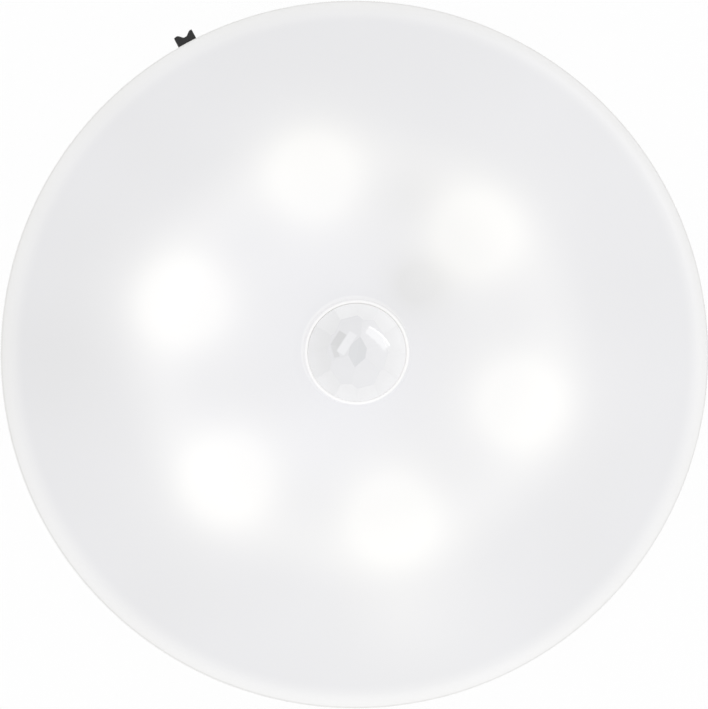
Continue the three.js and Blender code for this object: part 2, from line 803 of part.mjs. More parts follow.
function sensorHeader() {
  const disc = post(canFlangeRadius, headerBottom, headerTop, smallSides);
  const pins = headerPins.map((place) =>
    post(headerPinRadius, boardBottom, headerBottom + headerThickness / 2, pinSides).translate(place.x, place.y, 0));
  return joinAndCut(disc, pins, []);
}

function sensorCan() {
  const can = turned([
    [0, canTop - canWall],
    [canRadius - canWall, canTop - canWall],
    [canRadius - canWall, canBottom],
    [canFlangeRadius, canBottom],
    [canFlangeRadius, canBottom + canWall],
    [canRadius, canBottom + canWall],
    [canRadius, canTop],
    [0, canTop],
  ], smallSides);
  return joinAndCut(can, [], [block(windowLength, windowWidth, canTop - canWall - overrun, canTop + overrun)]);
}

const windowTop = canTop - canWall - seatGap;
addPiece('pir_base', sensorHeader(), finishes.brass);
addPiece('pir_can', sensorCan(), finishes.steel);
addPiece('pir_window', block(
  windowLength + 2 * windowBorder,
  windowWidth + 2 * windowBorder,
  windowTop - windowThickness,
  windowTop,
), finishes.smokedGlass);

addPiece('sensor_shroud', turned([
  [shroudRadius - shroudWall, boardTop + seatGap],
  [shroudRadius, boardTop + seatGap],
  [shroudRadius, lensFlangeBottom - seatGap],
  [shroudRadius - shroudWall, lensFlangeBottom - seatGap],
], roundSides), finishes.whitePlastic);

// Lens: round outside, with flat cells inside that each see a part of the room

function lens() {
  const outside = turned([
    [0, lensFlangeBottom],
    [lensFlangeRadius, lensFlangeBottom],
    [lensFlangeRadius, lensFlangeTop],
    [lensNeckRadius, lensFlangeTop],
    ...arc(0, lensDomeCentre, lensDomeRadius, lensNeckPolar, 0, 8),
  ], roundSides);
  const innerRadius = lensDomeRadius - lensWall;
  const mouthRadius = lensNeckRadius - lensWall;
  const corners = [];
  for (const { count, radiusShare } of lensCells) {
    const radius = mouthRadius * radiusShare;
    const height = lensDomeCentre + Math.sqrt(innerRadius ** 2 - radius ** 2);
    for (const place of ring(count, radius, 0)) {
      corners.push(new THREE.Vector3(place.x, place.y, height));
    }
  }
  const mouth = corners.slice(-lensCells.at(-1).count);
  for (const corner of mouth) {
    corners.push(new THREE.Vector3(corner.x, corner.y, lensFlangeBottom - overrun));
  }
  return joinAndCut(outside, [], [new ConvexGeometry(corners)]);
}

addPiece('pir_lens', lens(), finishes.lensPlastic);

// Light sensor

function lightSensor() {
  const bottom = boardTop + lightSensorStandoff;
  const body = post(1, bottom, bottom + lightSensorThickness, smallSides)
    .scale(lightSensorLength / 2, lightSensorWidth / 2, 1);
  const legs = row(2, lightSensorLegSpacing).map((x) =>
    post(lightSensorLegRadius, boardBottom, bottom + lightSensorThickness / 2, pinSides).translate(x, 0, 0));
  return joinAndCut(body, legs, []);
}

addPiece('light_sensor', lightSensor(), finishes.ceramic)
  .position.set(lightSensorCentre.x, lightSensorCentre.y, 0);

// Slide switch, drawn with its radius along +Y and turned to its place

const switchGroup = new THREE.Group();
switchGroup.rotation.z = switchTurn;
lamp.add(switchGroup);

function switchBase() {
  const width = 2 * (switchHalfWidth - switchWall - seatGap);
  const depth = switchDepth - 2 * (switchWall + seatGap);
  const bed = block(width, depth, switchBaseBottom, switchTop).translate(0, switchMiddle, 0);
  const pins = row(switchPinCount, switchPinPitch).map((x) =>
    post(switchPinRadius, switchBaseBottom + switchBaseThickness / 2, boardTop, pinSides)
      .translate(x, switchMiddle, 0));
  return joinAndCut(bed, pins, []);
}

function switchShell() {
  const shell = block(2 * switchHalfWidth, switchDepth, switchBottom, switchTop).translate(0, switchMiddle, 0);
  const inside = block(
    2 * (switchHalfWidth - switchWall),
    switchDepth - 2 * switchWall,
    switchBottom + switchWall,
    switchTop + overrun,
  ).translate(0, switchMiddle, 0);
  const slot = box(
    [-knobSlotHalfWidth, switchMiddle, knobBottom - clearance],
    [knobSlotHalfWidth, switchFront + overrun, knobTop + clearance],
  );
  return joinAndCut(shell, [], [inside, slot]);
}

// The knob's end has two flat peaks with a round valley between them
function switchKnob() {
  const front = switchMiddle + carriageDepth / 2;
  const back = switchMiddle - carriageDepth / 2;
  const tip = outerRadius + knobReach;
  const half = knobWidth / 2;
  const valleyHalf = knobWidth * knobValleyShare;
  const outline = [
    [-half, tip],
    [-half, front],
    [-carriageWidth / 2, front],
    [-carriageWidth / 2, back],
    [carriageWidth / 2, back],
    [carriageWidth / 2, front],
    [half, front],
    [half, tip],
  ];
  for (let i = 0; i <= knobValleySteps; i++) {
    const share = 1 - (2 * i) / knobValleySteps;
    const depth = (knobValleyDepth * (1 + Math.cos(Math.PI * share))) / 2;
    outline.push([share * valleyHalf, tip - depth]);
  }
  const shape = new THREE.Shape(outline.map((point) => new THREE.Vector2(...point)));
  return drawnOut(shape, knobBottom, knobTop);
}

// A springy strip on the carriage, whose raised ends wipe along the base
function switchWiper() {
  const half = wiperLength / 2;
  const bend = half - wiperFoot;
  const bottom = knobTop + seatGap;
  const lower = [[-half, wiperRise], [-bend, 0], [bend, 0], [half, wiperRise]];
  const upper = lower.toReversed().map(([x, lift]) => [x, lift + wiperThickness]);
  const strip = bar([...lower, ...upper], wiperWidth);
  return strip.rotateZ(-Math.PI / 2).translate(0, switchMiddle, bottom);
}

addPiece('switch_base', switchBase(), finishes.darkSleeve, switchGroup);
addPiece('switch_shell', switchShell(), finishes.steel, switchGroup);
addPiece('switch_knob', switchKnob(), finishes.blackPlastic, switchGroup);
addPiece('switch_wiper', switchWiper(), finishes.brass, switchGroup);

// Parts under the board, clear of the bay

const partsTop = boardBottom - seatGap;
const partsRow = bayOuterHalfWidth + boardPartMargin;

function addUnderBoard(name, geometry, finish, x, y) {
  addPiece(name, geometry, finish).position.set(x, y, partsTop);
}

const bossSide = screwPlaces[1].x - bossRadius;
addUnderBoard('storage_capacitor', post(capacitorRadius, -capacitorHeight, 0, smallSides),
  finishes.darkSleeve, bossSide - capacitorMargin - capacitorRadius, -partsRow);
addUnderBoard('controller_chip', block(chipLength, chipWidth, -chipThickness, 0),
  finishes.darkSleeve, chipPlace, -partsRow);
addUnderBoard('voltage_regulator', block(regulatorLength, regulatorWidth, -regulatorThickness, 0),
  finishes.darkSleeve, regulatorPlace, -partsRow);
row(resistorCount, resistorPitch).forEach((x, i) => {
  addUnderBoard(`resistor_${i + 1}`, block(resistorLength, resistorWidth, -resistorThickness, 0),
    finishes.darkSleeve, resistorPlace + x, partsRow);
});

export default lamp;
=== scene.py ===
"""Looks of a round motion sensor night light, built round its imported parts.

The lamp lies on its flat back at z = 0, with its milky cover towards +Z. Shapes are modelled in
millimetres and brought to metres when a piece is finished.
"""

import logging
import math
from collections.abc import Callable, Iterable, Sequence
from dataclasses import dataclass, field
from enum import Enum

import bmesh
import bpy
from mathutils import Matrix, Vector


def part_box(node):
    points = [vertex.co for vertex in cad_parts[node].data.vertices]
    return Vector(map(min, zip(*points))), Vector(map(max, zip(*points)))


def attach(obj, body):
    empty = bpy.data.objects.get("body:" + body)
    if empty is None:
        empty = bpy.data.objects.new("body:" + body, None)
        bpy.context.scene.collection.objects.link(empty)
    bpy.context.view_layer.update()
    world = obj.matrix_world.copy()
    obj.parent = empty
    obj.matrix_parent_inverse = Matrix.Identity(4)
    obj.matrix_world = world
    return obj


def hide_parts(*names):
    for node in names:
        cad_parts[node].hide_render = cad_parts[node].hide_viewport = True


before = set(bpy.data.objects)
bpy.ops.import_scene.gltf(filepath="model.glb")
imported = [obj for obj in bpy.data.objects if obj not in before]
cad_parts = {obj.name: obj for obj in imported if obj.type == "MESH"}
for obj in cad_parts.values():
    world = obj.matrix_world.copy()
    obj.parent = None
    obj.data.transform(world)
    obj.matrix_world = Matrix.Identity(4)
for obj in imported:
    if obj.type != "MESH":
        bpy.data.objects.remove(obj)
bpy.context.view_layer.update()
MM = 0.001
FULL_TURN = 2 * math.pi

# Sockets of a Mix node that mixes colours
MIX_A, MIX_B, MIX_RESULT = 6, 7, 2

# Values between which most of a noise texture lies
NOISE_LOW, NOISE_HIGH = 0.3, 0.7

# Where the switch stands round the lamp, and facets of the cover and the tray round the axis
SWITCH_DEGREES = 118.2
LAMP_FACETS = 240

# In millimetres: how far a cutting tool reaches past what it cuts, how near a height counts as the
# same, and how near points become one
OVERRUN = 1.0
NEAR = 0.01
WELD = 1e-4

log = logging.getLogger("night_light")

Point = tuple[float, float]
Corner = tuple[float, float, float]
Colour = tuple[float, float, float, float]


class Combine(Enum):
    """How one solid changes another."""

    JOIN = "UNION"
    CUT = "DIFFERENCE"


class Body(Enum):
    """The rigid bodies that pieces move with."""

    HOUSING = "housing"
    DOOR = "battery_door"
    KNOB = "switch_knob"


class Slot(Enum):
    """Names of the pieces' material slots."""

    HOUSING = "housing_plastic"
    DIFFUSER = "diffuser_plastic"
    LENS = "lens_plastic"
    BLACK = "black_plastic"
    BOARD = "board_laminate"
    LED = "led_phosphor"
    STEEL = "bright_steel"
    BRASS = "brass"
    WINDOW = "sensor_window"
    CERAMIC = "sensor_ceramic"
    RESIN = "chip_resin"
    SLEEVE = "capacitor_sleeve"
    CELL = "cell_jacket"
    MAGNET = "magnet_plating"


@dataclass(frozen=True)
class Extent:
    """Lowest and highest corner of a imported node, in millimetres."""

    low: Vector
    high: Vector

    @property
    def centre(self) -> Vector:
        """Middle of the extent."""
        return (self.low + self.high) / 2

    @property
    def size(self) -> Vector:
        """Length along each axis."""
        return self.high - self.low


def extent_of(node: str) -> Extent:
    """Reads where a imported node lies.

    Args:
        node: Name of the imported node.

    Returns:
        Its extent in millimetres.
    """
    low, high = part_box(node)
    return Extent(low / MM, high / MM)


def arc(centre: Point, radius: float, start: float, end: float, steps: int) -> list[Point]:
    """Places points along an arc.

    Args:
        centre: Centre of the arc.
        radius: Its radius.
        start: Angle of the first point in radians, from the outline's first axis.
        end: Angle of the last point.
        steps: Straight stretches along the arc.

    Returns:
        The points, both ends included.
    """
    angles = [start + (end - start) * step / steps for step in range(steps + 1)]
    return [(centre[0] + radius * math.cos(a), centre[1] + radius * math.sin(a)) for a in angles]


def rounded(corners: Sequence[Corner], steps: int = 4) -> list[Point]:
    """Rounds the corners of a closed outline.

    Args:
        corners: Points of the outline, each with the radius of its fillet; zero keeps it sharp.
        steps: Straight stretches in each fillet.

    Returns:
        The rounded outline's points, in the same order.
    """
    points: list[Point] = []
    for index, (x, y, radius) in enumerate(corners):
        if radius <= 0:
            points.append((x, y))
            continue
        here = Vector((x, y))
        back = (Vector(corners[index - 1][:2]) - here).normalized()
        onward = (Vector(corners[(index + 1) % len(corners)][:2]) - here).normalized()
        half = back.angle(onward) / 2
        centre = here + (back + onward).normalized() * (radius / math.sin(half))
        first = here + back * (radius / math.tan(half)) - centre
        last = here + onward * (radius / math.tan(half)) - centre
        start = math.atan2(first.y, first.x)
        sweep = math.remainder(math.atan2(last.y, last.x) - start, FULL_TURN)
        points += arc((centre.x, centre.y), radius, start, start + sweep, steps)
    return points


def rectangle(half_x: float, half_y: float, corner: float, steps: int = 8) -> list[Point]:
    """Outlines a rectangle with rounded corners, centred on the axis."""
    corners = [(half_x, half_y), (-half_x, half_y), (-half_x, -half_y), (half_x, -half_y)]
    return rounded([(x, y, corner) for x, y in corners], steps)


class Solid:
    """A closed shape in the making, in millimetres."""

    def __init__(self, mesh: bmesh.types.BMesh) -> None:
        """Takes over a bmesh."""
        self.mesh = mesh

    @classmethod
    def turned(cls, outline: Sequence[Point], steps: int = 160) -> "Solid":
        """Turns a closed outline of radius and height about Z.

        Args:
            outline: Points of radius and height; a stretch along the axis is left open.
            steps: Facets round the axis.

        Returns:
            The turned solid.
        """
        mesh = bmesh.new()
        points = [mesh.verts.new((radius, 0, height)) for radius, height in outline]
        for a, b in zip(points, points[1:] + points[:1]):
            if a.co.x > 0 or b.co.x > 0:
                mesh.edges.new((a, b))
        bmesh.ops.spin(
            mesh, geom=mesh.verts[:] + mesh.edges[:], cent=(0, 0, 0), axis=(0, 0, 1),
            angle=FULL_TURN, steps=steps, use_merge=True,
        )
        bmesh.ops.remove_doubles(mesh, verts=mesh.verts, dist=WELD)
        bmesh.ops.recalc_face_normals(mesh, faces=mesh.faces)
        return cls(mesh)

    @classmethod
    def drawn(cls, outline: Sequence[Point], low: float, high: float) -> "Solid":
        """Draws a flat outline of X and Y out from one height to another."""
        mesh = bmesh.new()
        face = mesh.faces.new([mesh.verts.new((x, y, low)) for x, y in outline])
        grown = bmesh.ops.extrude_face_region(mesh, geom=[face])["geom"]
        tops = [item for item in grown if isinstance(item, bmesh.types.BMVert)]
        bmesh.ops.translate(mesh, vec=(0, 0, high - low), verts=tops)
        bmesh.ops.recalc_face_normals(mesh, faces=mesh.faces)
        return cls(mesh)

    @classmethod
    def bent(
        cls, inner: float, outer: float, angle: float, length: float, low: float, high: float
    ) -> "Solid":
        """Makes a block bent round the axis.

        Args:
            inner: Its inner radius.
            outer: Its outer radius.
            angle: Angle of its middle in radians.
            length: Its length at the outer radius.
            low: Height of its underside.
            high: Height of its top.

        Returns:
            The bent block.
        """
        half, steps = length / outer / 2, 12
        outside = arc((0, 0), outer, angle - half, angle + half, steps)
        inside = arc((0, 0), inner, angle + half, angle - half, steps)
        return cls.drawn([*outside, *inside], low, high)

    @classmethod
    def block(cls, low: Sequence[float], high: Sequence[float]) -> "Solid":
        """Makes a box between its lowest and highest corner."""
        mesh = bmesh.new()
        bmesh.ops.create_cube(mesh, size=1)
        low, high = Vector(low), Vector(high)
        bmesh.ops.scale(mesh, vec=high - low, verts=mesh.verts)
        bmesh.ops.translate(mesh, vec=(low + high) / 2, verts=mesh.verts)
        return cls(mesh)

    @classmethod
    def recess(cls, half_x: float, half_y: float, corner: float, floor: float, lip: float) -> "Solid":
        """Makes the tool that cuts a pocket with a rounded lip into the underside at z = 0.

        Args:
            half_x: Half of the pocket's length.
            half_y: Half of its width.
            corner: Radius of its corners.
            floor: Height that the pocket reaches.
            lip: Radius of the lip's rounding.

        Returns:
            The cutting tool.
        """
        tool = cls.drawn(rectangle(half_x + lip, half_y + lip, corner + lip), -lip, 0)
        cap = max(tool.mesh.faces, key=lambda face: face.calc_center_median().z)
        steps = 4
        for step in range(1, steps + 1):
            before, after = (math.pi / 2 * k / steps for k in (step - 1, step))
            bmesh.ops.inset_region(
                tool.mesh, faces=[cap], use_even_offset=True,
                thickness=lip * (math.sin(after) - math.sin(before)),
                depth=lip * (math.cos(before) - math.cos(after)),
            )
        grown = bmesh.ops.extrude_face_region(tool.mesh, geom=[cap])["geom"]
        tops = [item for item in grown if isinstance(item, bmesh.types.BMVert)]
        bmesh.ops.translate(tool.mesh, vec=(0, 0, floor - lip), verts=tops)
        bmesh.ops.delete(tool.mesh, geom=[cap], context="FACES_ONLY")
        bmesh.ops.recalc_face_normals(tool.mesh, faces=tool.mesh.faces)
        return tool

    def soften(
        self, width: float, segments: int = 3, pick: Callable[[bmesh.types.BMEdge], bool] | None = None
    ) -> "Solid":
        """Rounds sharp edges.

        Args:
            width: Radius of the rounding.
            segments: Strips across it.
            pick: Says which edges are rounded; without it, all that turn more than 30 degrees.

        Returns:
            The same solid.
        """
        sharp = math.radians(30)
        chosen = [
            edge for edge in self.mesh.edges if (pick(edge) if pick else edge.calc_face_angle(0) > sharp)
        ]
        bmesh.ops.bevel(
            self.mesh, geom=chosen, offset=width, offset_type="OFFSET", segments=segments,
            profile=0.5, affect="EDGES", clamp_overlap=True, material=-1,
        )
        return self

    def moved(self, x: float = 0, y: float = 0, z: float = 0) -> "Solid":
        """Shifts the solid."""
        bmesh.ops.translate(self.mesh, vec=(x, y, z), verts=self.mesh.verts)
        return self

    def rotated(self, angle: float, axis: str) -> "Solid":
        """Turns the solid about an axis through the origin, by radians."""
        turn = Matrix.Rotation(angle, 3, axis)
        bmesh.ops.rotate(self.mesh, cent=(0, 0, 0), matrix=turn, verts=self.mesh.verts)
        return self

    def _standing(self, name: str) -> bpy.types.Object:
        """Puts the mesh into a short-lived object and frees it here."""
        data = bpy.data.meshes.new(name)
        self.mesh.to_mesh(data)
        self.mesh.free()
        item = bpy.data.objects.new(name, data)
        bpy.context.scene.collection.objects.link(item)
        return item

    def combined(self, others: Iterable["Solid"], how: Combine) -> "Solid":
        """Joins other solids on, or cuts them away.

        Args:
            others: The solids, which are used up.
            how: Whether they are joined or cut.

        Returns:
            The same solid, changed.
        """
        base = self._standing("base")
        tools = [other._standing("tool") for other in others]
        for tool in tools:
            step = base.modifiers.new(tool.name, "BOOLEAN")
            step.operation = how.value
            step.solver = "MANIFOLD"
            step.object = tool
        made = base.evaluated_get(bpy.context.evaluated_depsgraph_get())
        self.mesh = bmesh.new()
        self.mesh.from_mesh(made.to_mesh())
        made.to_mesh_clear()
        for item in [base, *tools]:
            data = item.data
            bpy.data.objects.remove(item)
            bpy.data.meshes.remove(data)
        return self

    def painted(self, index: int, pick: Callable[[bmesh.types.BMFace], bool]) -> "Solid":
        """Gives the picked faces another of the piece's materials."""
        for face in self.mesh.faces:
            if pick(face):
                face.material_index = index
        return self

    def finished(
        self, name: str, body: Body, slot: Slot, stands_for: Sequence[str],
        materials: Sequence[bpy.types.Material], crease: float = 32,
    ) -> bpy.types.Object:
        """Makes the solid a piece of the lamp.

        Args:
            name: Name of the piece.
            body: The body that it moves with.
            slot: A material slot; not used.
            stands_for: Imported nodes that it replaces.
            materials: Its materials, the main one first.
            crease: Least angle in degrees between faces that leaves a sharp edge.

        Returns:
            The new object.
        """
        bmesh.ops.scale(self.mesh, vec=(MM, MM, MM), verts=self.mesh.verts)
        item = self._standing(name)
        for material in materials:
            item.data.materials.append(material)
        item.data.shade_smooth()
        item.data.set_sharp_from_angle(angle=math.radians(crease))
        weights = item.modifiers.new("even shading", "WEIGHTED_NORMAL")
        weights.keep_sharp = True
        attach(item, body.value)
        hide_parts(*stands_for)
        log.info("%s stands for %s, %d faces", name, ", ".join(stands_for), len(item.data.polygons))
        return item


def dress_node(node: str, material: bpy.types.Material) -> None:
    """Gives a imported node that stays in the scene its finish.

    Args:
        node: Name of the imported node.
        material: The finish's material.
    """
    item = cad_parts[node]
    item.data.materials.clear()
    item.data.materials.append(material)
    log.info("%s is kept, with %s", node, material.name)


def linear(colour: str) -> Colour:
    """Turns an sRGB hex colour into linear light.

    Args:
        colour: The colour as #rrggbb.

    Returns:
        Red, green, blue and full opacity.
    """
    shares = [int(colour[i:i + 2], 16) / 255 for i in (1, 3, 5)]
    red, green, blue = (s / 12.92 if s <= 0.04045 else ((s + 0.055) / 1.055) ** 2.4 for s in shares)
    return red, green, blue, 1.0


def feed(node: bpy.types.Node, inputs: dict[int | str, object]) -> None:
    """Gives a node's inputs their values and links.

    Args:
        node: The node.
        inputs: A value, a socket or a node for each input; a node gives its first output.
    """
    for key, value in inputs.items():
        source = value.outputs[0] if isinstance(value, bpy.types.Node) else value
        if isinstance(source, bpy.types.NodeSocket):
            node.id_data.links.new(source, node.inputs[key])
        else:
            node.inputs[key].default_value = source


def add_node(
    tree: bpy.types.NodeTree, kind: str, settings: dict[str, object] | None = None,
    inputs: dict[int | str, object] | None = None,
) -> bpy.types.Node:
    """Adds a node with its settings and links.

    Args:
        tree: The tree that gets the node.
        kind: The node's type, without its ShaderNode prefix.
        settings: Values of its properties.
        inputs: What feeds its inputs.

    Returns:
        The new node.
    """
    node = tree.nodes.new(f"ShaderNode{kind}")
    for key, value in (settings or {}).items():
        setattr(node, key, value)
    feed(node, inputs or {})
    return node


@dataclass(frozen=True)
class Finish:
    """A surface with a name and a body colour."""

    name: str
    colour: str

    def start(self) -> tuple[bpy.types.Material, bpy.types.NodeTree, bpy.types.Node, bpy.types.Node]:
        """Starts the material.

        Returns:
            The material, its tree, its main shader and its texture coordinates.
        """
        material = bpy.data.materials.new(self.name)
        material.use_nodes = True
        tree = material.node_tree
        tree.nodes.clear()
        shader = add_node(tree, "BsdfPrincipled", inputs={"Base Color": linear(self.colour)})
        add_node(tree, "OutputMaterial", inputs={"Surface": shader})
        return material, tree, shader, add_node(tree, "TexCoord")

    def material(self) -> bpy.types.Material:
        """Makes the material, once."""
        known = bpy.data.materials.get(self.name)
        return known or self.make()

    def make(self) -> bpy.types.Material:
        """Builds the nodes; each kind of finish has its own."""
        raise NotImplementedError


@dataclass(frozen=True)
class MouldedPlastic(Finish):
    """Injection-moulded plastic from a spark-eroded tool: a fine pebbled satin that breaks up gloss."""

    roughness: float = 0.42
    ior: float = 1.53
    grain: float = 0.16
    grain_depth: float = 0.006
    gloss_spread: Point = (0.05, 0.06)
    flow: float = 9.0
    flow_span: Point = (0.35, 0.7)
    flow_colour: str = "#e4e4e4"

    def make(self) -> bpy.types.Material:
        """Builds grain, flow marks and a slightly uneven gloss.

        Returns:
            The material.
        """
        material, tree, shader, coordinates = self.start()
        place = coordinates.outputs["Object"]
        flow = add_node(tree, "TexNoise", None, {
            "Vector": place, "Scale": 1 / (self.flow * MM), "Detail": 2.0,
        })
        tone = add_node(tree, "MapRange", None, {
            "Value": flow, 1: self.flow_span[0], 2: self.flow_span[1], 3: 0.0, 4: 1.0,
        })
        mix = add_node(tree, "Mix", {"data_type": "RGBA"}, {
            0: tone, MIX_A: linear(self.colour), MIX_B: linear(self.flow_colour),
        })
        gloss = add_node(tree, "MapRange", None, {
            "Value": flow, 1: NOISE_LOW, 2: NOISE_HIGH,
            3: self.roughness - self.gloss_spread[0], 4: self.roughness + self.gloss_spread[1],
        })
        grain = add_node(tree, "TexNoise", None, {
            "Vector": place, "Scale": 1 / (self.grain * MM), "Detail": 3.0, "Roughness": 0.6,
        })
        bump = add_node(tree, "Bump", None, {
            "Height": grain, "Strength": 1.0, "Distance": self.grain_depth * MM,
        })
        feed(shader, {
            "Base Color": mix.outputs[MIX_RESULT], "Roughness": gloss, "Normal": bump, "IOR": self.ior,
        })
        return material


@dataclass(frozen=True)
class SoftPlace:
    """A soft place painted on the cover: painted light where it is lighter, painted shade where it is darker.
    """

    centre: Point
    reach: float
    amount: float


@dataclass(frozen=True)
class LitDiffuser(Finish):
    """Milky polystyrene, moulded in a lightly blasted tool: a soft sheen. The diodes' glow through it is
    painted on as light, with more painted light and shade over the cover.

    The tool's own grain is a few hundredths of a millimetre wide; it is drawn coarser so that it shows.
    """

    # Painted light: the places of the soft pools of glow over the diodes
    lit_places: tuple[Point, ...] = ()
    # Painted shade: the light sensor's shadow on the cover
    shaded_place: Point = (0, 0)
    # Painted light: the cover's colour lighter round its middle, inside the ring of diodes
    inner_light_colour: str = "#ececef"
    # Colour that the random cloudiness and the painted shade are mixed towards
    shade_colour: str = "#e0e0e1"
    # Painted shade: a darker thin line along the cover's outer edge
    edge_shade_colour: str = "#d9d9da"
    glow_tint: str = "#fffcea"
    glow_peak: float = 0.5
    glow_most: float = 0.148
    glow_blend: float = 0.15
    glow_reach: float = 5.5
    # Painted light: a lighter band along the ring of diodes
    ring_glow: float = 0.03
    ring_radius: float = 23.5
    ring_reach: float = 6.0
    # Painted light: the cover grows lighter from here out to its edge
    rim_painted_light: float = 0.107
    rim_start: float = 39.4
    # Painted light: the lip round the lens lighter, with a lighter halo that reaches further on its upper
    # left
    lip_painted_light: float = 0.075
    lip_radius: float = 6.17
    lip_step: float = 0.12
    halo_painted_light: float = 0.06
    halo_place: Point = (-0.16, 0.26)
    halo_radius: float = 6.6
    halo_reach: float = 0.35
    shade_reach: float = 4.6
    # Painted shade: soft darker places on the cover
    darker: tuple[SoftPlace, ...] = (
        SoftPlace((-35.0, 0.3), reach=10.0, amount=0.6),
        SoftPlace((7.2, 18.6), reach=6.0, amount=0.3),
        SoftPlace((9.9, 9.0), reach=5.5, amount=0.4),
    )
    # Painted light: a soft lighter place towards the bottom
    lighter: tuple[SoftPlace, ...] = (SoftPlace((6.0, -31.5), reach=10.0, amount=0.045),)
    # Where the painted lighter middle is centred, where it is full and where it ends
    inner_light_place: Point = (-9.0, 1.5)
    inner_radius: float = 11.0
    outer_radius: float = 24.0
    edge_radius: float = 42.3
    edge_step: float = 0.15
    roughness: float = 0.48
    ior: float = 1.5
    grain: float = 0.3
    grain_depth: float = 0.004
    cloud: float = 16.0
    cloud_span: Point = (0.3, 0.8)
    cloud_most: float = 0.35

    def _fall(
        self, tree: bpy.types.NodeTree, place: bpy.types.Node, centre: Point, reach: float
    ) -> bpy.types.Node:
        """Falls from one at a centre to nothing, as light spreads that comes from a small source.

        Args:
            tree: The material's tree.
            place: Place on the cover in millimetres, without its height.
            centre: Where the value is one.
            reach: Distance at which it has fallen to a quarter.

        Returns:
            The node with the value.
        """
        away = add_node(tree, "VectorMath", {"operation": "DISTANCE"}, {0: place, 1: (*centre, 0)})
        share = add_node(tree, "Math", {"operation": "DIVIDE"}, {0: away.outputs["Value"], 1: reach})
        square = add_node(tree, "Math", {"operation": "MULTIPLY_ADD"}, {0: share, 1: share, 2: 1.0})
        return add_node(tree, "Math", {"operation": "POWER"}, {0: square, 1: -2.0})

    def make(self) -> bpy.types.Material:
        """Builds the painted glow, light and shade, the tone of the cover and its grain.

        Returns:
            The material.
        """
        material, tree, shader, coordinates = self.start()
        place = coordinates.outputs["Object"]
        flat = add_node(tree, "VectorMath", {"operation": "MULTIPLY"}, {0: place, 1: (1 / MM, 1 / MM, 0)})
        # Painted light: the diodes' glow, laid on as emission round each of their places
        glow: bpy.types.Node | float = 0.0
        for centre in self.lit_places:
            near = self._fall(tree, flat, centre, self.glow_reach)
            glow = add_node(tree, "Math", {"operation": "MULTIPLY_ADD"}, {
                0: near, 1: self.glow_peak, 2: glow,
            })
        shine = add_node(tree, "Math", {"operation": "SMOOTH_MIN"}, {
            0: glow, 1: self.glow_most, 2: self.glow_blend,
        })
        away = add_node(tree, "VectorMath", {"operation": "LENGTH"}, {0: flat})
        # Painted light in rings: a lighter band along the diodes, a lighter rim and a lighter lip round the
        # lens
        for start, end, most in (
            (self.ring_radius - self.ring_reach, self.ring_radius, self.ring_glow),
            (self.ring_radius, self.ring_radius + self.ring_reach, -self.ring_glow),
            (self.rim_start, self.edge_radius, self.rim_painted_light),
            (self.lip_radius, self.lip_radius - self.lip_step, self.lip_painted_light),
        ):
            step = add_node(tree, "MapRange", {"interpolation_type": "SMOOTHSTEP"}, {
                "Value": away.outputs["Value"], 1: start, 2: end, 3: 0.0, 4: most,
            })
            shine = add_node(tree, "Math", {"operation": "ADD"}, {0: shine, 1: step})
        # Painted light: a lighter halo round the lip, reaching further on its upper left side
        from_halo = add_node(tree, "VectorMath", {"operation": "DISTANCE"}, {
            0: flat, 1: (*self.halo_place, 0),
        })
        halo = add_node(tree, "MapRange", {"interpolation_type": "SMOOTHSTEP"}, {
            "Value": from_halo.outputs["Value"], 1: self.halo_radius, 2: self.halo_radius - self.halo_reach,
            3: 0.0, 4: self.halo_painted_light,
        })
        shine = add_node(tree, "Math", {"operation": "ADD"}, {0: shine, 1: halo})
        # Painted light at the soft lighter places
        for soft in self.lighter:
            near = self._fall(tree, flat, soft.centre, soft.reach)
            shine = add_node(tree, "Math", {"operation": "MULTIPLY_ADD"}, {
                0: near, 1: soft.amount, 2: shine,
            })
        # Painted light: the cover's colour mixed lighter round the middle
        from_inner = add_node(tree, "VectorMath", {"operation": "DISTANCE"}, {
            0: flat, 1: (*self.inner_light_place, 0),
        })
        inside = add_node(tree, "MapRange", {"interpolation_type": "SMOOTHSTEP"}, {
            "Value": from_inner.outputs["Value"], 1: self.outer_radius, 2: self.inner_radius, 3: 0.0, 4: 1.0,
        })
        body = add_node(tree, "Mix", {"data_type": "RGBA"}, {
            0: inside, MIX_A: linear(self.colour), MIX_B: linear(self.inner_light_colour),
        })
        cloud = add_node(tree, "TexNoise", None, {
            "Vector": place, "Scale": 1 / (self.cloud * MM), "Detail": 1.0,
        })
        cloudy = add_node(tree, "MapRange", None, {
            "Value": cloud, 1: self.cloud_span[0], 2: self.cloud_span[1], 3: 0.0, 4: self.cloud_most,
        })
        # The plastic's random cloudiness, with painted shade over the light sensor and at the soft darker
        # places
        shade = add_node(tree, "Math", {"operation": "ADD"}, {
            0: cloudy, 1: self._fall(tree, flat, self.shaded_place, self.shade_reach),
        })
        for soft in self.darker:
            near = self._fall(tree, flat, soft.centre, soft.reach)
            shade = add_node(tree, "Math", {"operation": "MULTIPLY_ADD"}, {
                0: near, 1: soft.amount, 2: shade,
            })
        shaded = add_node(tree, "Mix", {"data_type": "RGBA"}, {
            0: shade, MIX_A: body.outputs[MIX_RESULT], MIX_B: linear(self.shade_colour),
        })
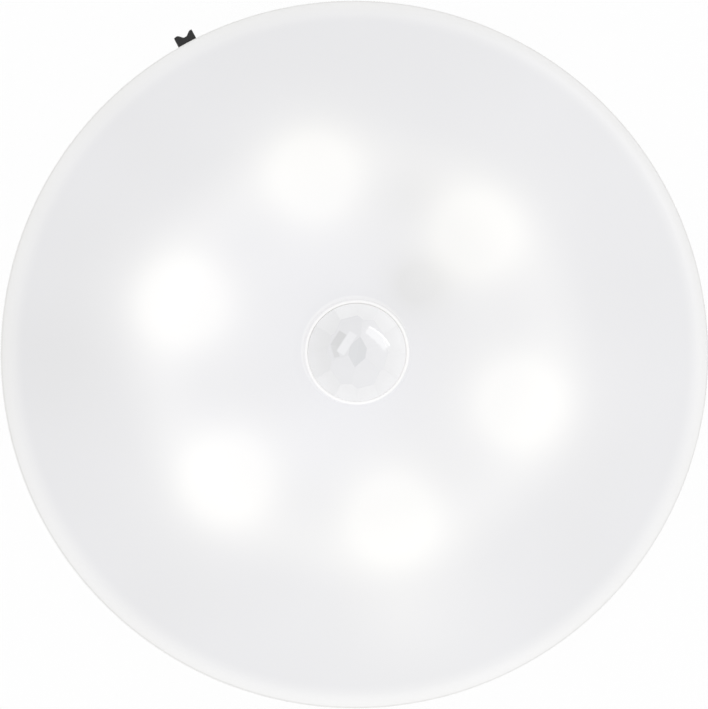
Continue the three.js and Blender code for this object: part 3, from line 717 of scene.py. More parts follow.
        # Painted shade: the colour turns darker in a thin line at the outer edge
        at_shaded_edge = add_node(tree, "MapRange", {"interpolation_type": "SMOOTHSTEP"}, {
            "Value": away.outputs["Value"], 1: self.edge_radius - self.edge_step, 2: self.edge_radius,
            3: 0.0, 4: 1.0,
        })
        whole = add_node(tree, "Mix", {"data_type": "RGBA"}, {
            0: at_shaded_edge, MIX_A: shaded.outputs[MIX_RESULT], MIX_B: linear(self.edge_shade_colour),
        })
        grain = add_node(tree, "TexNoise", None, {
            "Vector": place, "Scale": 1 / (self.grain * MM), "Detail": 3.0,
        })
        bump = add_node(tree, "Bump", None, {
            "Height": grain, "Strength": 1.0, "Distance": self.grain_depth * MM,
        })
        feed(shader, {
            "Base Color": whole.outputs[MIX_RESULT], "Roughness": self.roughness, "IOR": self.ior,
            "Normal": bump, "Emission Strength": shine, "Emission Color": linear(self.glow_tint),
        })
        return material


@dataclass(frozen=True)
class CellRing:
    """One ring of flat cells on the inside of the lens, each cell with a painted tone of light and shade; a
    squeeze over one draws it in at left and right.
    """

    polar_degrees: float
    start_degrees: float
    shading_tones: tuple[str, ...]
    squeeze: float = 1.0


@dataclass(frozen=True)
class LensPatch:
    """A patch painted in a tone of its own over the lens's cells: a turned rectangle with soft sides."""

    centre: Point
    degrees: float
    half_size: Point
    tone: str
    blur: float = 0.12


@dataclass(frozen=True)
class LensPlastic(Finish):
    """Milky polyethylene, polished outside: the flat cells inside show as facets under a smooth gloss, with
    painted light and shade on them.
    """

    dome_radius: float = 6.96
    dome_centre: float = 20.2
    flat_share: float = 0.985
    # Painted shade: the middle cell darker than the rings round it
    middle_shade_tone: str = "#dcdddf"
    middle_rise: float = 0.28
    middle_degrees: float = 80.0
    # Painted light: the lens lighter towards its edge
    edge_start: float = 4.4
    edge_end: float = 5.75
    edge_painted_light: float = 0.02
    relief: float = 0.6
    roughness: float = 0.5
    ior: float = 1.54
    coat_roughness: float = 0.05
    # Painted light and shade: each ring's cells lighter on the right and darker on the left and below
    inner: CellRing = CellRing(polar_degrees=25.7, start_degrees=20, shading_tones=(
        "#e8e8ea", "#e7e7e9", "#e6e6e8", "#e6e6e8", "#e6e6e8", "#e8e8ea",
    ))
    outer: CellRing = CellRing(polar_degrees=48, start_degrees=0, squeeze=1.13, shading_tones=(
        "#f5f5f6", "#f7f7f8", "#f4f4f5", "#f5f5f6", "#f0f0f1", "#ededee",
        "#ececed", "#ededee", "#eeeeef", "#ededee", "#efeff0", "#f2f2f3",
    ))
    # Painted shade: the first two, darker, on the left; painted reflection: the third, lighter, beside them
    glint_and_shade_patches: tuple[LensPatch, ...] = (
        LensPatch((-2.23, 1.4), degrees=57, half_size=(1.0, 0.5), tone="#d8d8d9"),
        LensPatch((-2.6, 0.05), degrees=107, half_size=(0.72, 0.32), tone="#dbdbdc"),
        LensPatch((-1.25, 1.0), degrees=57, half_size=(1.4, 0.5), tone="#f0f0f2"),
    )

    def _angle(self, tree: bpy.types.NodeTree, place: bpy.types.Node, ring: CellRing) -> bpy.types.Node:
        """Finds the angle of a place round the ring, which is drawn in at its left and right."""
        parts = add_node(tree, "SeparateXYZ", None, {0: place})
        wide = add_node(tree, "Math", {"operation": "MULTIPLY"}, {0: parts.outputs[0], 1: ring.squeeze})
        return add_node(tree, "Math", {"operation": "ARCTAN2"}, {0: parts.outputs[1], 1: wide})

    def _height(
        self, tree: bpy.types.NodeTree, angle: bpy.types.Node, place: bpy.types.Node, ring: CellRing
    ) -> bpy.types.Node:
        """Finds the height of the ring's flat cells over a place.

        Args:
            tree: The material's tree.
            angle: Angle of the place round the ring.
            place: The place on the lens in millimetres.
            ring: The ring of cells.

        Returns:
            The node with the height, in millimetres above the centre of the dome.
        """
        half = math.pi / len(ring.shading_tones)
        first = math.radians(ring.start_degrees) + half
        polar = math.radians(ring.polar_degrees)
        wide = add_node(tree, "VectorMath", {"operation": "MULTIPLY"}, {0: place, 1: (ring.squeeze, 1, 0)})
        away = add_node(tree, "VectorMath", {"operation": "LENGTH"}, {0: wide}).outputs["Value"]
        shifted = add_node(tree, "Math", {"operation": "SUBTRACT"}, {0: angle, 1: first})
        wrapped = add_node(tree, "Math", {"operation": "WRAP"}, {0: shifted, 1: half, 2: -half})
        across = add_node(tree, "Math", {"operation": "COSINE"}, {0: wrapped})
        out = add_node(tree, "Math", {"operation": "MULTIPLY"}, {0: across, 1: away})
        return add_node(tree, "Math", {"operation": "MULTIPLY_ADD"}, {
            0: out, 1: -math.tan(polar), 2: self.flat_share * self.dome_radius / math.cos(polar),
        })

    def _tone(self, tree: bpy.types.NodeTree, angle: bpy.types.Node, ring: CellRing) -> bpy.types.Node:
        """Gives each cell of a ring its own painted tone of light and shade."""
        start = math.radians(ring.start_degrees)
        shifted = add_node(tree, "Math", {"operation": "SUBTRACT"}, {0: angle, 1: start})
        turns = add_node(tree, "Math", {"operation": "DIVIDE"}, {0: shifted, 1: FULL_TURN})
        share = add_node(tree, "Math", {"operation": "FRACT"}, {0: turns})
        ramp = add_node(tree, "ValToRGB", None, {"Fac": share})
        ramp.color_ramp.interpolation = "CONSTANT"
        for index, tone in enumerate(ring.shading_tones):
            stops = ramp.color_ramp.elements
            stop = stops[index] if index < 1 else stops.new(index / len(ring.shading_tones))
            stop.color = linear(tone)
        ramp.color_ramp.elements.remove(ramp.color_ramp.elements[-1])
        return ramp

    def _patch(self, tree: bpy.types.NodeTree, place: bpy.types.Node, patch: LensPatch) -> bpy.types.Node:
        """Is one inside a patch and zero outside.

        Args:
            tree: The material's tree.
            place: Place on the lens in millimetres.
            patch: The patch.

        Returns:
            The node with the share.
        """
        turned = add_node(tree, "Mapping", {"vector_type": "TEXTURE"}, {
            "Vector": place, "Location": (*patch.centre, 0), "Rotation": (0, 0, math.radians(patch.degrees)),
        })
        parts = add_node(tree, "SeparateXYZ", None, {0: turned})
        shares = []
        for axis, half in enumerate(patch.half_size):
            off = add_node(tree, "Math", {"operation": "ABSOLUTE"}, {0: parts.outputs[axis]})
            shares.append(add_node(tree, "MapRange", {"interpolation_type": "SMOOTHSTEP"}, {
                "Value": off, 1: half + patch.blur, 2: half - patch.blur, 3: 0.0, 4: 1.0,
            }))
        return add_node(tree, "Math", {"operation": "MULTIPLY"}, {0: shares[0], 1: shares[1]})

    def make(self) -> bpy.types.Material:
        """Builds the cells' flats, their painted light and shade, and the gloss over them.

        Returns:
            The material.
        """
        material, tree, shader, coordinates = self.start()
        place = add_node(tree, "VectorMath", {"operation": "SCALE"}, {0: coordinates.outputs["Object"]})
        place.inputs["Scale"].default_value = 1 / MM
        z = add_node(tree, "SeparateXYZ", None, {0: place}).outputs[2]
        flat = add_node(tree, "VectorMath", {"operation": "MULTIPLY"}, {0: place, 1: (1, 1, 0)})
        away = add_node(tree, "VectorMath", {"operation": "LENGTH"}, {0: flat}).outputs["Value"]
        inner_angle = self._angle(tree, place, self.inner)
        outer_angle = self._angle(tree, place, self.outer)
        lean = math.radians(self.middle_degrees)
        side = add_node(tree, "VectorMath", {"operation": "DOT_PRODUCT"}, {
            0: flat, 1: (math.sin(lean), -math.cos(lean), 0),
        }).outputs["Value"]
        off = add_node(tree, "Math", {"operation": "ABSOLUTE"}, {0: side})
        middle = add_node(tree, "Math", {"operation": "MULTIPLY_ADD"}, {
            0: off, 1: self.middle_rise, 2: self.flat_share * self.dome_radius,
        })
        inner = self._height(tree, inner_angle, place, self.inner)
        outer = self._height(tree, outer_angle, place, self.outer)
        within = add_node(tree, "Math", {"operation": "MINIMUM"}, {0: middle, 1: inner})
        flats = add_node(tree, "Math", {"operation": "MINIMUM"}, {0: within, 1: outer})
        above = add_node(tree, "Math", {"operation": "SUBTRACT"}, {0: z, 1: self.dome_centre})
        height = add_node(tree, "Math", {"operation": "SUBTRACT"}, {0: flats, 1: above})
        is_inner = add_node(tree, "Math", {"operation": "LESS_THAN"}, {0: inner, 1: middle})
        is_outer = add_node(tree, "Math", {"operation": "LESS_THAN"}, {0: outer, 1: within})
        centre = add_node(tree, "Mix", {"data_type": "RGBA"}, {
            0: is_inner, MIX_A: linear(self.middle_shade_tone), MIX_B: self._tone(tree, inner_angle, self.inner),
        })
        whole = add_node(tree, "Mix", {"data_type": "RGBA"}, {
            0: is_outer, MIX_A: centre.outputs[MIX_RESULT], MIX_B: self._tone(tree, outer_angle, self.outer),
        })
        # Painted shade and painted reflection laid over the cells
        for patch in self.glint_and_shade_patches:
            whole = add_node(tree, "Mix", {"data_type": "RGBA"}, {
                0: self._patch(tree, place, patch),
                MIX_A: whole.outputs[MIX_RESULT], MIX_B: linear(patch.tone),
            })
        bump = add_node(tree, "Bump", None, {"Height": height, "Strength": self.relief, "Distance": MM})
        # Painted light: the lens lighter towards its edge
        edge = add_node(tree, "MapRange", {"interpolation_type": "SMOOTHSTEP"}, {
            "Value": away, 1: self.edge_start, 2: self.edge_end, 3: 0.0, 4: self.edge_painted_light,
        })
        feed(shader, {
            "Base Color": whole.outputs[MIX_RESULT], "Roughness": self.roughness, "IOR": self.ior,
            "Normal": bump, "Emission Strength": edge, "Emission Color": linear(self.colour),
            "Coat Weight": 1.0, "Coat Roughness": self.coat_roughness, "Coat IOR": self.ior,
        })
        return material


@dataclass(frozen=True)
class PlatedMetal(Finish):
    """Rolled strip or turned metal under bright plating: long faint roll marks in a clear gloss."""

    roughness: float = 0.24
    gloss_spread: Point = (0.06, 0.1)
    cloud: float = 2.5
    mark: float = 0.12
    mark_depth: float = 0.0015
    stretch: tuple[float, float, float] = (1.0, 1.0, 12.0)

    def make(self) -> bpy.types.Material:
        """Builds the roll marks and a cloudy polish.

        Returns:
            The material.
        """
        material, tree, shader, coordinates = self.start()
        place = coordinates.outputs["Object"]
        scale = tuple(1 / (self.mark * MM * stretch) for stretch in self.stretch)
        drawn = add_node(tree, "Mapping", None, {"Vector": place, "Scale": scale})
        marks = add_node(tree, "TexNoise", None, {"Vector": drawn, "Scale": 1.0, "Detail": 4.0})
        cloud = add_node(tree, "TexNoise", None, {
            "Vector": place, "Scale": 1 / (self.cloud * MM), "Detail": 3.0,
        })
        gloss = add_node(tree, "MapRange", None, {
            "Value": cloud, 1: NOISE_LOW, 2: NOISE_HIGH,
            3: self.roughness - self.gloss_spread[0], 4: self.roughness + self.gloss_spread[1],
        })
        bump = add_node(tree, "Bump", None, {
            "Height": marks, "Strength": 1.0, "Distance": self.mark_depth * MM,
        })
        feed(shader, {"Roughness": gloss, "Normal": bump, "Metallic": 1.0})
        return material


@dataclass(frozen=True)
class PrintedJacket(Finish):
    """Shrunk film on a dry cell: ink over foil under a clear gloss, with a plus at the nub's end."""

    band_colour: str = "#d9dbdc"
    nub_side: int = 1
    row: float = 0.0
    middle: float = 0.0
    half_length: float = 22.0
    band_share: float = 0.42
    mark_size: float = 2.4
    mark_width: float = 0.7
    mark_place: float = 16.5
    mark_colour: str = "#1f2a26"
    foil: float = 0.2
    gloss: Point = (0.26, 0.4)
    metallic: float = 0.35
    coat: float = 0.6
    coat_roughness: float = 0.12

    def make(self) -> bpy.types.Material:
        """Builds the two printed colours and the plus.

        Returns:
            The material.
        """
        material, tree, shader, coordinates = self.start()
        place = add_node(tree, "Mapping", None, {
            "Vector": coordinates.outputs["Object"],
            "Location": (-self.middle * self.nub_side, -self.row, 0),
            "Scale": (self.nub_side / MM, 1 / MM, 1 / MM),
        })
        parts = add_node(tree, "SeparateXYZ", None, {0: place})
        along, across = parts.outputs[0], parts.outputs[1]
        band = add_node(tree, "Math", {"operation": "GREATER_THAN"}, {
            0: along, 1: self.half_length * self.band_share,
        })
        body = add_node(tree, "Mix", {"data_type": "RGBA"}, {
            0: band, MIX_A: linear(self.colour), MIX_B: linear(self.band_colour),
        })
        from_mark = add_node(tree, "Math", {"operation": "SUBTRACT"}, {0: along, 1: self.mark_place})
        bars = []
        for length, width in ((self.mark_size, self.mark_width), (self.mark_width, self.mark_size)):
            near_x = add_node(tree, "Math", {"operation": "COMPARE"}, {0: from_mark, 1: 0.0, 2: length / 2})
            near_y = add_node(tree, "Math", {"operation": "COMPARE"}, {0: across, 1: 0.0, 2: width / 2})
            bars.append(add_node(tree, "Math", {"operation": "MULTIPLY"}, {0: near_x, 1: near_y}))
        plus = add_node(tree, "Math", {"operation": "MAXIMUM"}, {0: bars[0], 1: bars[1]})
        printed = add_node(tree, "Mix", {"data_type": "RGBA"}, {
            0: plus, MIX_A: body.outputs[MIX_RESULT], MIX_B: linear(self.mark_colour),
        })
        foil = add_node(tree, "TexNoise", None, {
            "Vector": coordinates.outputs["Object"], "Scale": 1 / (self.foil * MM), "Detail": 2.0,
        })
        gloss = add_node(tree, "MapRange", None, {
            "Value": foil, 1: NOISE_LOW, 2: NOISE_HIGH, 3: self.gloss[0], 4: self.gloss[1],
        })
        feed(shader, {
            "Base Color": printed.outputs[MIX_RESULT], "Roughness": gloss, "Metallic": self.metallic,
            "Coat Weight": self.coat, "Coat Roughness": self.coat_roughness,
        })
        return material


@dataclass(frozen=True)
class SpeckledSurface(Finish):
    """A cast or coated surface with fine specks: printed board, resin, sleeve, ceramic or phosphor."""

    speck_colour: str = "#808080"
    speck: float = 0.3
    speck_share: float = 0.3
    speck_edge: Point = (0.2, 0.6)
    roughness: float = 0.5
    relief: float = 0.003

    def make(self) -> bpy.types.Material:
        """Builds the specks and their slight relief.

        Returns:
            The material.
        """
        material, tree, shader, coordinates = self.start()
        specks = add_node(tree, "TexVoronoi", None, {
            "Vector": coordinates.outputs["Object"], "Scale": 1 / (self.speck * MM),
        })
        share = add_node(tree, "MapRange", None, {
            "Value": specks, 1: self.speck_edge[0], 2: self.speck_edge[1], 3: self.speck_share, 4: 0.0,
        })
        mix = add_node(tree, "Mix", {"data_type": "RGBA"}, {
            0: share, MIX_A: linear(self.colour), MIX_B: linear(self.speck_colour),
        })
        bump = add_node(tree, "Bump", None, {
            "Height": specks, "Strength": 1.0, "Distance": self.relief * MM,
        })
        feed(shader, {
            "Base Color": mix.outputs[MIX_RESULT], "Roughness": self.roughness, "Normal": bump,
        })
        return material


# The real pebbles are about 0.1 mm across; they are drawn coarser so that they show
WHITE_ABS = MouldedPlastic(
    "white ABS, spark eroded", "#ececec", flow_colour="#e9e9e9", grain=0.4, grain_depth=0.025,
)
BLACK_POM = MouldedPlastic(
    "black acetal, moulded", "#1c1c1d", roughness=0.45, ior=1.48, grain=0.14, grain_depth=0.004,
    flow=1.2, flow_colour="#121213",
)
NICKEL = PlatedMetal("nickel-plated steel strip", "#b9bbbd")
MAGNET_NICKEL = PlatedMetal(
    "nickel plating on a pressed magnet", "#b2b1ae", roughness=0.22, stretch=(1, 1, 1),
)
BRASS = PlatedMetal("gold-flashed brass", "#c9a768")
BARE_STEEL = PlatedMetal("drawn steel of a cell's ends", "#c4c6c8", roughness=0.2, stretch=(1, 6, 1))
BOARD_RESIST = SpeckledSurface(
    "white solder resist on glass laminate", "#ecebe4", speck_colour="#dedcd0", speck=0.5, roughness=0.4,
)
PHOSPHOR = SpeckledSurface(
    "yellow phosphor in clear silicone", "#f2d96b", speck_colour="#e2b93c", speck=0.08, roughness=0.25,
)
LED_FRAME = SpeckledSurface("white diode frame", "#f0efea", speck_colour="#e2e1da", speck=0.2, roughness=0.5)
EPOXY = SpeckledSurface("moulded epoxy", "#26262a", speck_colour="#3a3a3e", speck=0.1, roughness=0.55)
SLEEVE = SpeckledSurface(
    "shrunk capacitor sleeve", "#23253a", speck_colour="#2c2f48", speck=0.6, roughness=0.3,
)
COATED_CERAMIC = SpeckledSurface(
    "clear-coated ceramic", "#d98f4e", speck_colour="#a84f28", speck=0.5, roughness=0.25,
)
SMOKED_WINDOW = SpeckledSurface(
    "dark infrared window", "#2b2930", speck_colour="#35323c", speck=0.4, roughness=0.12, relief=0.0005,
)


@dataclass(frozen=True)
class SnapLugs:
    """The lugs bent round the cover's tongue, which snap into pockets in the tray."""

    count: int = 3
    reach: float = 0.6
    height: float = 0.8
    lift: float = 0.4
    length: float = 8.0

    def blocks(self, start: float, tongue: float, bottom: float, spare: float = 0.0) -> list[Solid]:
        """Makes the lugs or, with spare room round them, the pockets.

        Args:
            start: Radius at which each block starts.
            tongue: Outer radius of the tongue.
            bottom: Height of the tongue's lower end.
            spare: Room round each lug.

        Returns:
            A block for each lug, none of them at the switch.
        """
        low = bottom + self.lift
        switch = math.radians(SWITCH_DEGREES)
        angles = [switch + FULL_TURN * (index + 0.5) / self.count for index in range(self.count)]
        return [
            Solid.bent(
                start, tongue + self.reach + spare, angle, self.length + 2 * spare,
                low - spare, low + self.height + spare,
            ) for angle in angles
        ]


@dataclass
class DiffuserCover:
    """The milky cover: a shallow dome with a lip round the lens and a tongue that snaps into the tray."""

    wall: float = 1.2
    crown_radius: float = 180.0
    rim_radius: float = 2.5
    hole_radius: float = 5.8
    lip_width: float = 0.45
    lip_height: float = 0.5
    lip_foot: float = 0.18
    lip_rounding: float = 0.32
    lip_edge: float = 0.07
    tongue_thickness: float = 1.2
    tongue_depth: float = 2.2
    tray_wall: float = 1.8
    seam: float = 0.3
    skirt_rounding: float = 0.3
    notch_half: float = 3.8
    lugs: SnapLugs = SnapLugs()
    # Where the painted glow over each diode is centred: drawn in towards the middle, then shifted
    glow_share: float = 0.974
    glow_shifts: tuple[Point, ...] = (
        (-1.2, -0.58), (-0.12, 0.49), (-0.38, 0.05), (-0.12, -0.42), (-0.73, 0.76), (-0.84, -0.07),
    )
    extent: Extent = field(default_factory=lambda: extent_of("diffuser_dome"))

    def build(self) -> Solid:
        """Models the cover.

        Returns:
            The closed solid.
        """
        radius, bottom = self.extent.high.x, self.extent.low.z
        lip_outer = self.hole_radius + self.lip_width
        drop = self.crown_radius - math.sqrt(self.crown_radius ** 2 - lip_outer ** 2)
        crown_centre = self.extent.high.z - self.lip_height + drop - self.crown_radius
        rim_place = radius - self.rim_radius
        rim_angle = math.acos(rim_place / (self.crown_radius - self.rim_radius))
        rim_height = crown_centre + (self.crown_radius - self.rim_radius) * math.sin(rim_angle)
        inner_radius = self.crown_radius - self.wall
        skirt = bottom + self.tongue_depth + self.seam
        ledge = skirt + self.wall
        tongue_outer = extent_of("base_housing").high.x - self.tray_wall - self.seam
        tongue_inner = tongue_outer - self.tongue_thickness
        outline = [
            *arc((0, crown_centre), inner_radius, math.acos(self.hole_radius / inner_radius), rim_angle, 12),
            *arc((rim_place, rim_height), self.rim_radius - self.wall, rim_angle, 0, 4)[1:],
            (radius - self.wall, ledge),
            (tongue_inner, ledge),
            (tongue_inner, bottom),
            (tongue_outer, bottom),
            (tongue_outer, skirt),
            *arc((radius - self.skirt_rounding, skirt + self.skirt_rounding), self.skirt_rounding,
                 -math.pi / 2, 0, 5),
            *arc((rim_place, rim_height), self.rim_radius, 0, rim_angle, 14),
            *arc((0, crown_centre), self.crown_radius, rim_angle,
                 math.acos((lip_outer + self.lip_foot) / self.crown_radius), 26)[1:],
            *arc((lip_outer + self.lip_foot, self.extent.high.z - self.lip_height + self.lip_foot),
                 self.lip_foot, -math.pi / 2, -math.pi, 4)[1:],
            *arc((lip_outer - self.lip_rounding, self.extent.high.z - self.lip_rounding),
                 self.lip_rounding, 0, math.pi / 2, 6),
            *arc((self.hole_radius + self.lip_edge, self.extent.high.z - self.lip_edge),
                 self.lip_edge, math.pi / 2, math.pi, 4),
        ]
        notch = Solid.block(
            (-self.notch_half, tongue_inner - OVERRUN, bottom - OVERRUN),
            (self.notch_half, tongue_outer + OVERRUN, skirt),
        ).rotated(math.radians(SWITCH_DEGREES - 90), "Z")
        lugs = self.lugs.blocks(tongue_outer - self.tongue_thickness / 2, tongue_outer, bottom)
        cover = Solid.turned(outline, LAMP_FACETS).combined(lugs, Combine.JOIN)
        return cover.combined([notch], Combine.CUT)

    def dress(self, leds: Sequence[Extent], sensor: Extent) -> LitDiffuser:
        """Chooses the finish, with painted light over the diodes and painted shade over the light sensor."""
        return LitDiffuser(
            "lit milky polystyrene", "#e8e8ea",
            lit_places=tuple(
                (led.centre.x * self.glow_share + right, led.centre.y * self.glow_share + up)
                for led, (right, up) in zip(leds, self.glow_shifts)
            ),
            shaded_place=(sensor.centre.x, sensor.centre.y),
        )


@dataclass
class SensorLens:
    """The lens: a domed cap on a flange, smooth outside and cut into flat cells inside."""

    neck_radius: float = 5.78
    dome_drop: float = 0.04
    settle: Point = (-0.004, -0.017)
    wall: float = 0.6
    flange_thickness: float = 0.8
    rings: tuple[tuple[int, float], ...] = ((6, 0.27), (12, 0.72), (12, 1.0))
    extent: Extent = field(default_factory=lambda: extent_of("pir_lens"))

    @property
    def dome_radius(self) -> float:
        """Radius of the dome, whose foot lies just below the top of the cover's lip."""
        rise = self.extent.high.z - extent_of("diffuser_dome").high.z + self.dome_drop
        return (self.neck_radius ** 2 + rise ** 2) / (2 * rise)

    @property
    def dome_centre(self) -> float:
        """Height of the dome's centre."""
        return self.extent.high.z - self.dome_radius

    def build(self) -> Solid:
        """Models the lens.

        Returns:
            The closed solid, hollow underneath.
        """
        bottom, flange = self.extent.low.z, self.extent.high.x
        neck = math.acos(self.neck_radius / self.dome_radius)
        outside = Solid.turned([
            (0, bottom),
            (flange, bottom),
            (flange, bottom + self.flange_thickness),
            (self.neck_radius, bottom + self.flange_thickness),
            *arc((0, self.dome_centre), self.dome_radius, neck, math.pi / 2, 40),
        ], 160)
        hollow = bmesh.new()
        inner = self.dome_radius - self.wall
        mouth = self.neck_radius - self.wall
        for count, share in self.rings:
            height = self.dome_centre + math.sqrt(inner ** 2 - (mouth * share) ** 2)
            bmesh.ops.create_circle(
                hollow, segments=count, radius=mouth * share, matrix=Matrix.Translation((0, 0, height)),
            )
        bmesh.ops.create_circle(
            hollow, segments=self.rings[-1][0], radius=mouth, matrix=Matrix.Translation((0, 0, bottom - 1)),
        )
        hull = bmesh.ops.convex_hull(hollow, input=hollow.verts)
        inside = {item for item in hull["geom_interior"] if isinstance(item, bmesh.types.BMVert)}
        bmesh.ops.delete(hollow, geom=list(inside), context="VERTS")
        bmesh.ops.recalc_face_normals(hollow, faces=hollow.faces)
        return outside.combined([Solid(hollow)], Combine.CUT).moved(*self.settle)

    def dress(self) -> LensPlastic:
        """Chooses the finish."""
        return LensPlastic(
            "milky polyethylene lens", "#e9e9eb", dome_radius=self.dome_radius, dome_centre=self.dome_centre,
        )


@dataclass
class BaseHousing:
    """The white tray: a tapered wall, a rounded back, the battery bay, screw bosses and magnet cups."""

    wall: float = 1.8
    taper: float = 1.2
    back_rounding: float = 2.0
    foot_draw: float = 0.2
    wall_top: float = 13.0
    edge: float = 0.25
    ledge: float = 10.5
    floor: float = 1.8
    bay_half: Point = (24.6, 16.55)
    bay_wall: float = 1.5
    bay_corner: float = 1.0
    bay_ceiling: float = 12.9
    bay_top: float = 13.9
    bay_edge: float = 0.4
    recess_lap: float = 0.9
    lip: float = 0.3
    root: float = 1.0
    boss_radius: float = 3.0
    boss_edge: float = 0.3
    bore_radius: float = 1.4
    bore_bottom: float = 6.5
    clear_height: float = 16.0
    cup_radius: float = 6.3
    cup_wall: float = 1.0
    pocket_radius: float = 5.3
    pocket_top: float = 2.5
    scallop_radius: float = 5.0
    scallop_depth: float = 1.2
    hook_spacing: float = 30.0
    hook_width: float = 5.6
    hook_top: float = 3.7
    tail_row: float = 11.0
    tail_width: float = 2.6
    tail_depths: Point = (0.3, 0.8)
    knob_half: float = 3.5
    knob_low: float = 10.9
    knob_corner: float = 0.6
    knob_slot_height: float = 9.0
    knob_slot_reach: Point = (-50.0, -30.0)
    lugs: SnapLugs = SnapLugs()
    lug_room: float = 0.3
    extent: Extent = field(default_factory=lambda: extent_of("base_housing"))

    def _tray(self) -> Solid:
        """Turns the tray's wall and floor."""
        top_radius = self.extent.high.x
        back_radius = top_radius - self.taper
        inner_radius = top_radius - self.wall
        outline = rounded([
            (0, 0, 0),
            (back_radius - self.foot_draw, 0, self.back_rounding),
            (top_radius, self.wall_top, self.edge),
            (inner_radius, self.wall_top, self.edge),
            (inner_radius, self.ledge, 0),
            (back_radius - self.wall, self.floor, 0),
            (0, self.floor, 0),
        ], 8)
        return Solid.turned(outline, LAMP_FACETS)

    def _mouth(self, radius: float, top: float) -> Solid:
        """Makes the tool for a round pocket in the back, with a rounded lip."""
        return Solid.turned([
            (0, -OVERRUN), (radius + self.lip, -OVERRUN),
            *arc((radius + self.lip, self.lip), self.lip, -math.pi / 2, -math.pi, 4),
            (radius, top), (0, top),
        ], 64)

    def build(self) -> Solid:
        """Models the housing.

        Returns:
            The closed solid.
        """
        screws = [extent_of(f"board_screw_{number}").centre for number in (1, 2, 3)]
        magnets = [extent_of(name).centre for name in ("magnet_upper", "magnet_lower")]
        half_x, half_y = self.bay_half
        shell_corner = self.bay_corner + self.bay_wall
        bay_shell = Solid.drawn(
            rectangle(half_x + self.bay_wall, half_y + self.bay_wall, shell_corner), 0, self.bay_top,
        ).soften(self.bay_edge, pick=lambda edge: min(v.co.z for v in edge.verts) > self.bay_top - NEAR)
        bosses = [
            Solid.turned(rounded([
                (0, self.root, 0), (self.boss_radius, self.root, 0),
                (self.boss_radius, self.extent.high.z, self.boss_edge), (0, self.extent.high.z, 0),
            ]), 48).moved(place.x, place.y) for place in screws
        ]
        cup_top = self.pocket_top + self.cup_wall
        cups = [
            Solid.turned([
                (0, self.root), (self.cup_radius, self.root), (self.cup_radius, cup_top), (0, cup_top),
            ], 64).moved(0, place.y) for place in magnets
        ]
        recess = Solid.recess(
            half_x + self.recess_lap, half_y + self.recess_lap, self.bay_corner + self.recess_lap,
            self.floor, self.lip,
        )
        bay = Solid.drawn(rectangle(half_x, half_y, self.bay_corner), -OVERRUN, self.bay_ceiling)
        bores = [
            Solid.turned([
                (0, self.bore_bottom), (self.bore_radius, self.bore_bottom),
                (self.bore_radius, self.clear_height), (0, self.clear_height),
            ], 32).moved(place.x, place.y) for place in screws
        ]
        pockets = [self._mouth(self.pocket_radius, self.pocket_top).moved(0, place.y) for place in magnets]
        scallop = self._mouth(self.scallop_radius, self.scallop_depth).moved(0, half_y + self.recess_lap)
        half_hook, half_tail = self.hook_width / 2, self.tail_width / 2
        notches = [
            Solid.block(
                (side * self.hook_spacing / 2 - half_hook, -half_y - self.bay_wall - OVERRUN, self.floor),
                (side * self.hook_spacing / 2 + half_hook, -half_y + OVERRUN, self.hook_top),
            ) for side in (-1, 1)
        ]
        tails = [
            Solid.block(
                (-half_x - self.tail_depths[0], self.tail_row - half_tail, self.bay_ceiling - OVERRUN),
                (-half_x + self.tail_depths[1], self.tail_row + half_tail, self.clear_height),
            ).rotated(turn, "Z") for turn in (0, math.pi)
        ]
        knob_slot = Solid.drawn(rounded([
            (-self.knob_half, 0, self.knob_corner), (self.knob_half, 0, self.knob_corner),
            (self.knob_half, self.knob_slot_height, 0), (-self.knob_half, self.knob_slot_height, 0),
        ], 5), *self.knob_slot_reach).rotated(math.pi / 2, "X").moved(z=self.knob_low)
        knob_slot.rotated(math.radians(SWITCH_DEGREES - 90), "Z")
        inner_radius = self.extent.high.x - self.wall
        lug_pockets = self.lugs.blocks(
            inner_radius - OVERRUN, inner_radius - self.lug_room,
            extent_of("diffuser_dome").low.z, self.lug_room,
        )
        housing = self._tray().combined([bay_shell, *bosses, *cups], Combine.JOIN)
        return housing.combined(
            [bay, recess, *bores, *pockets, scallop, *notches, *tails, knob_slot, *lug_pockets], Combine.CUT,
        )


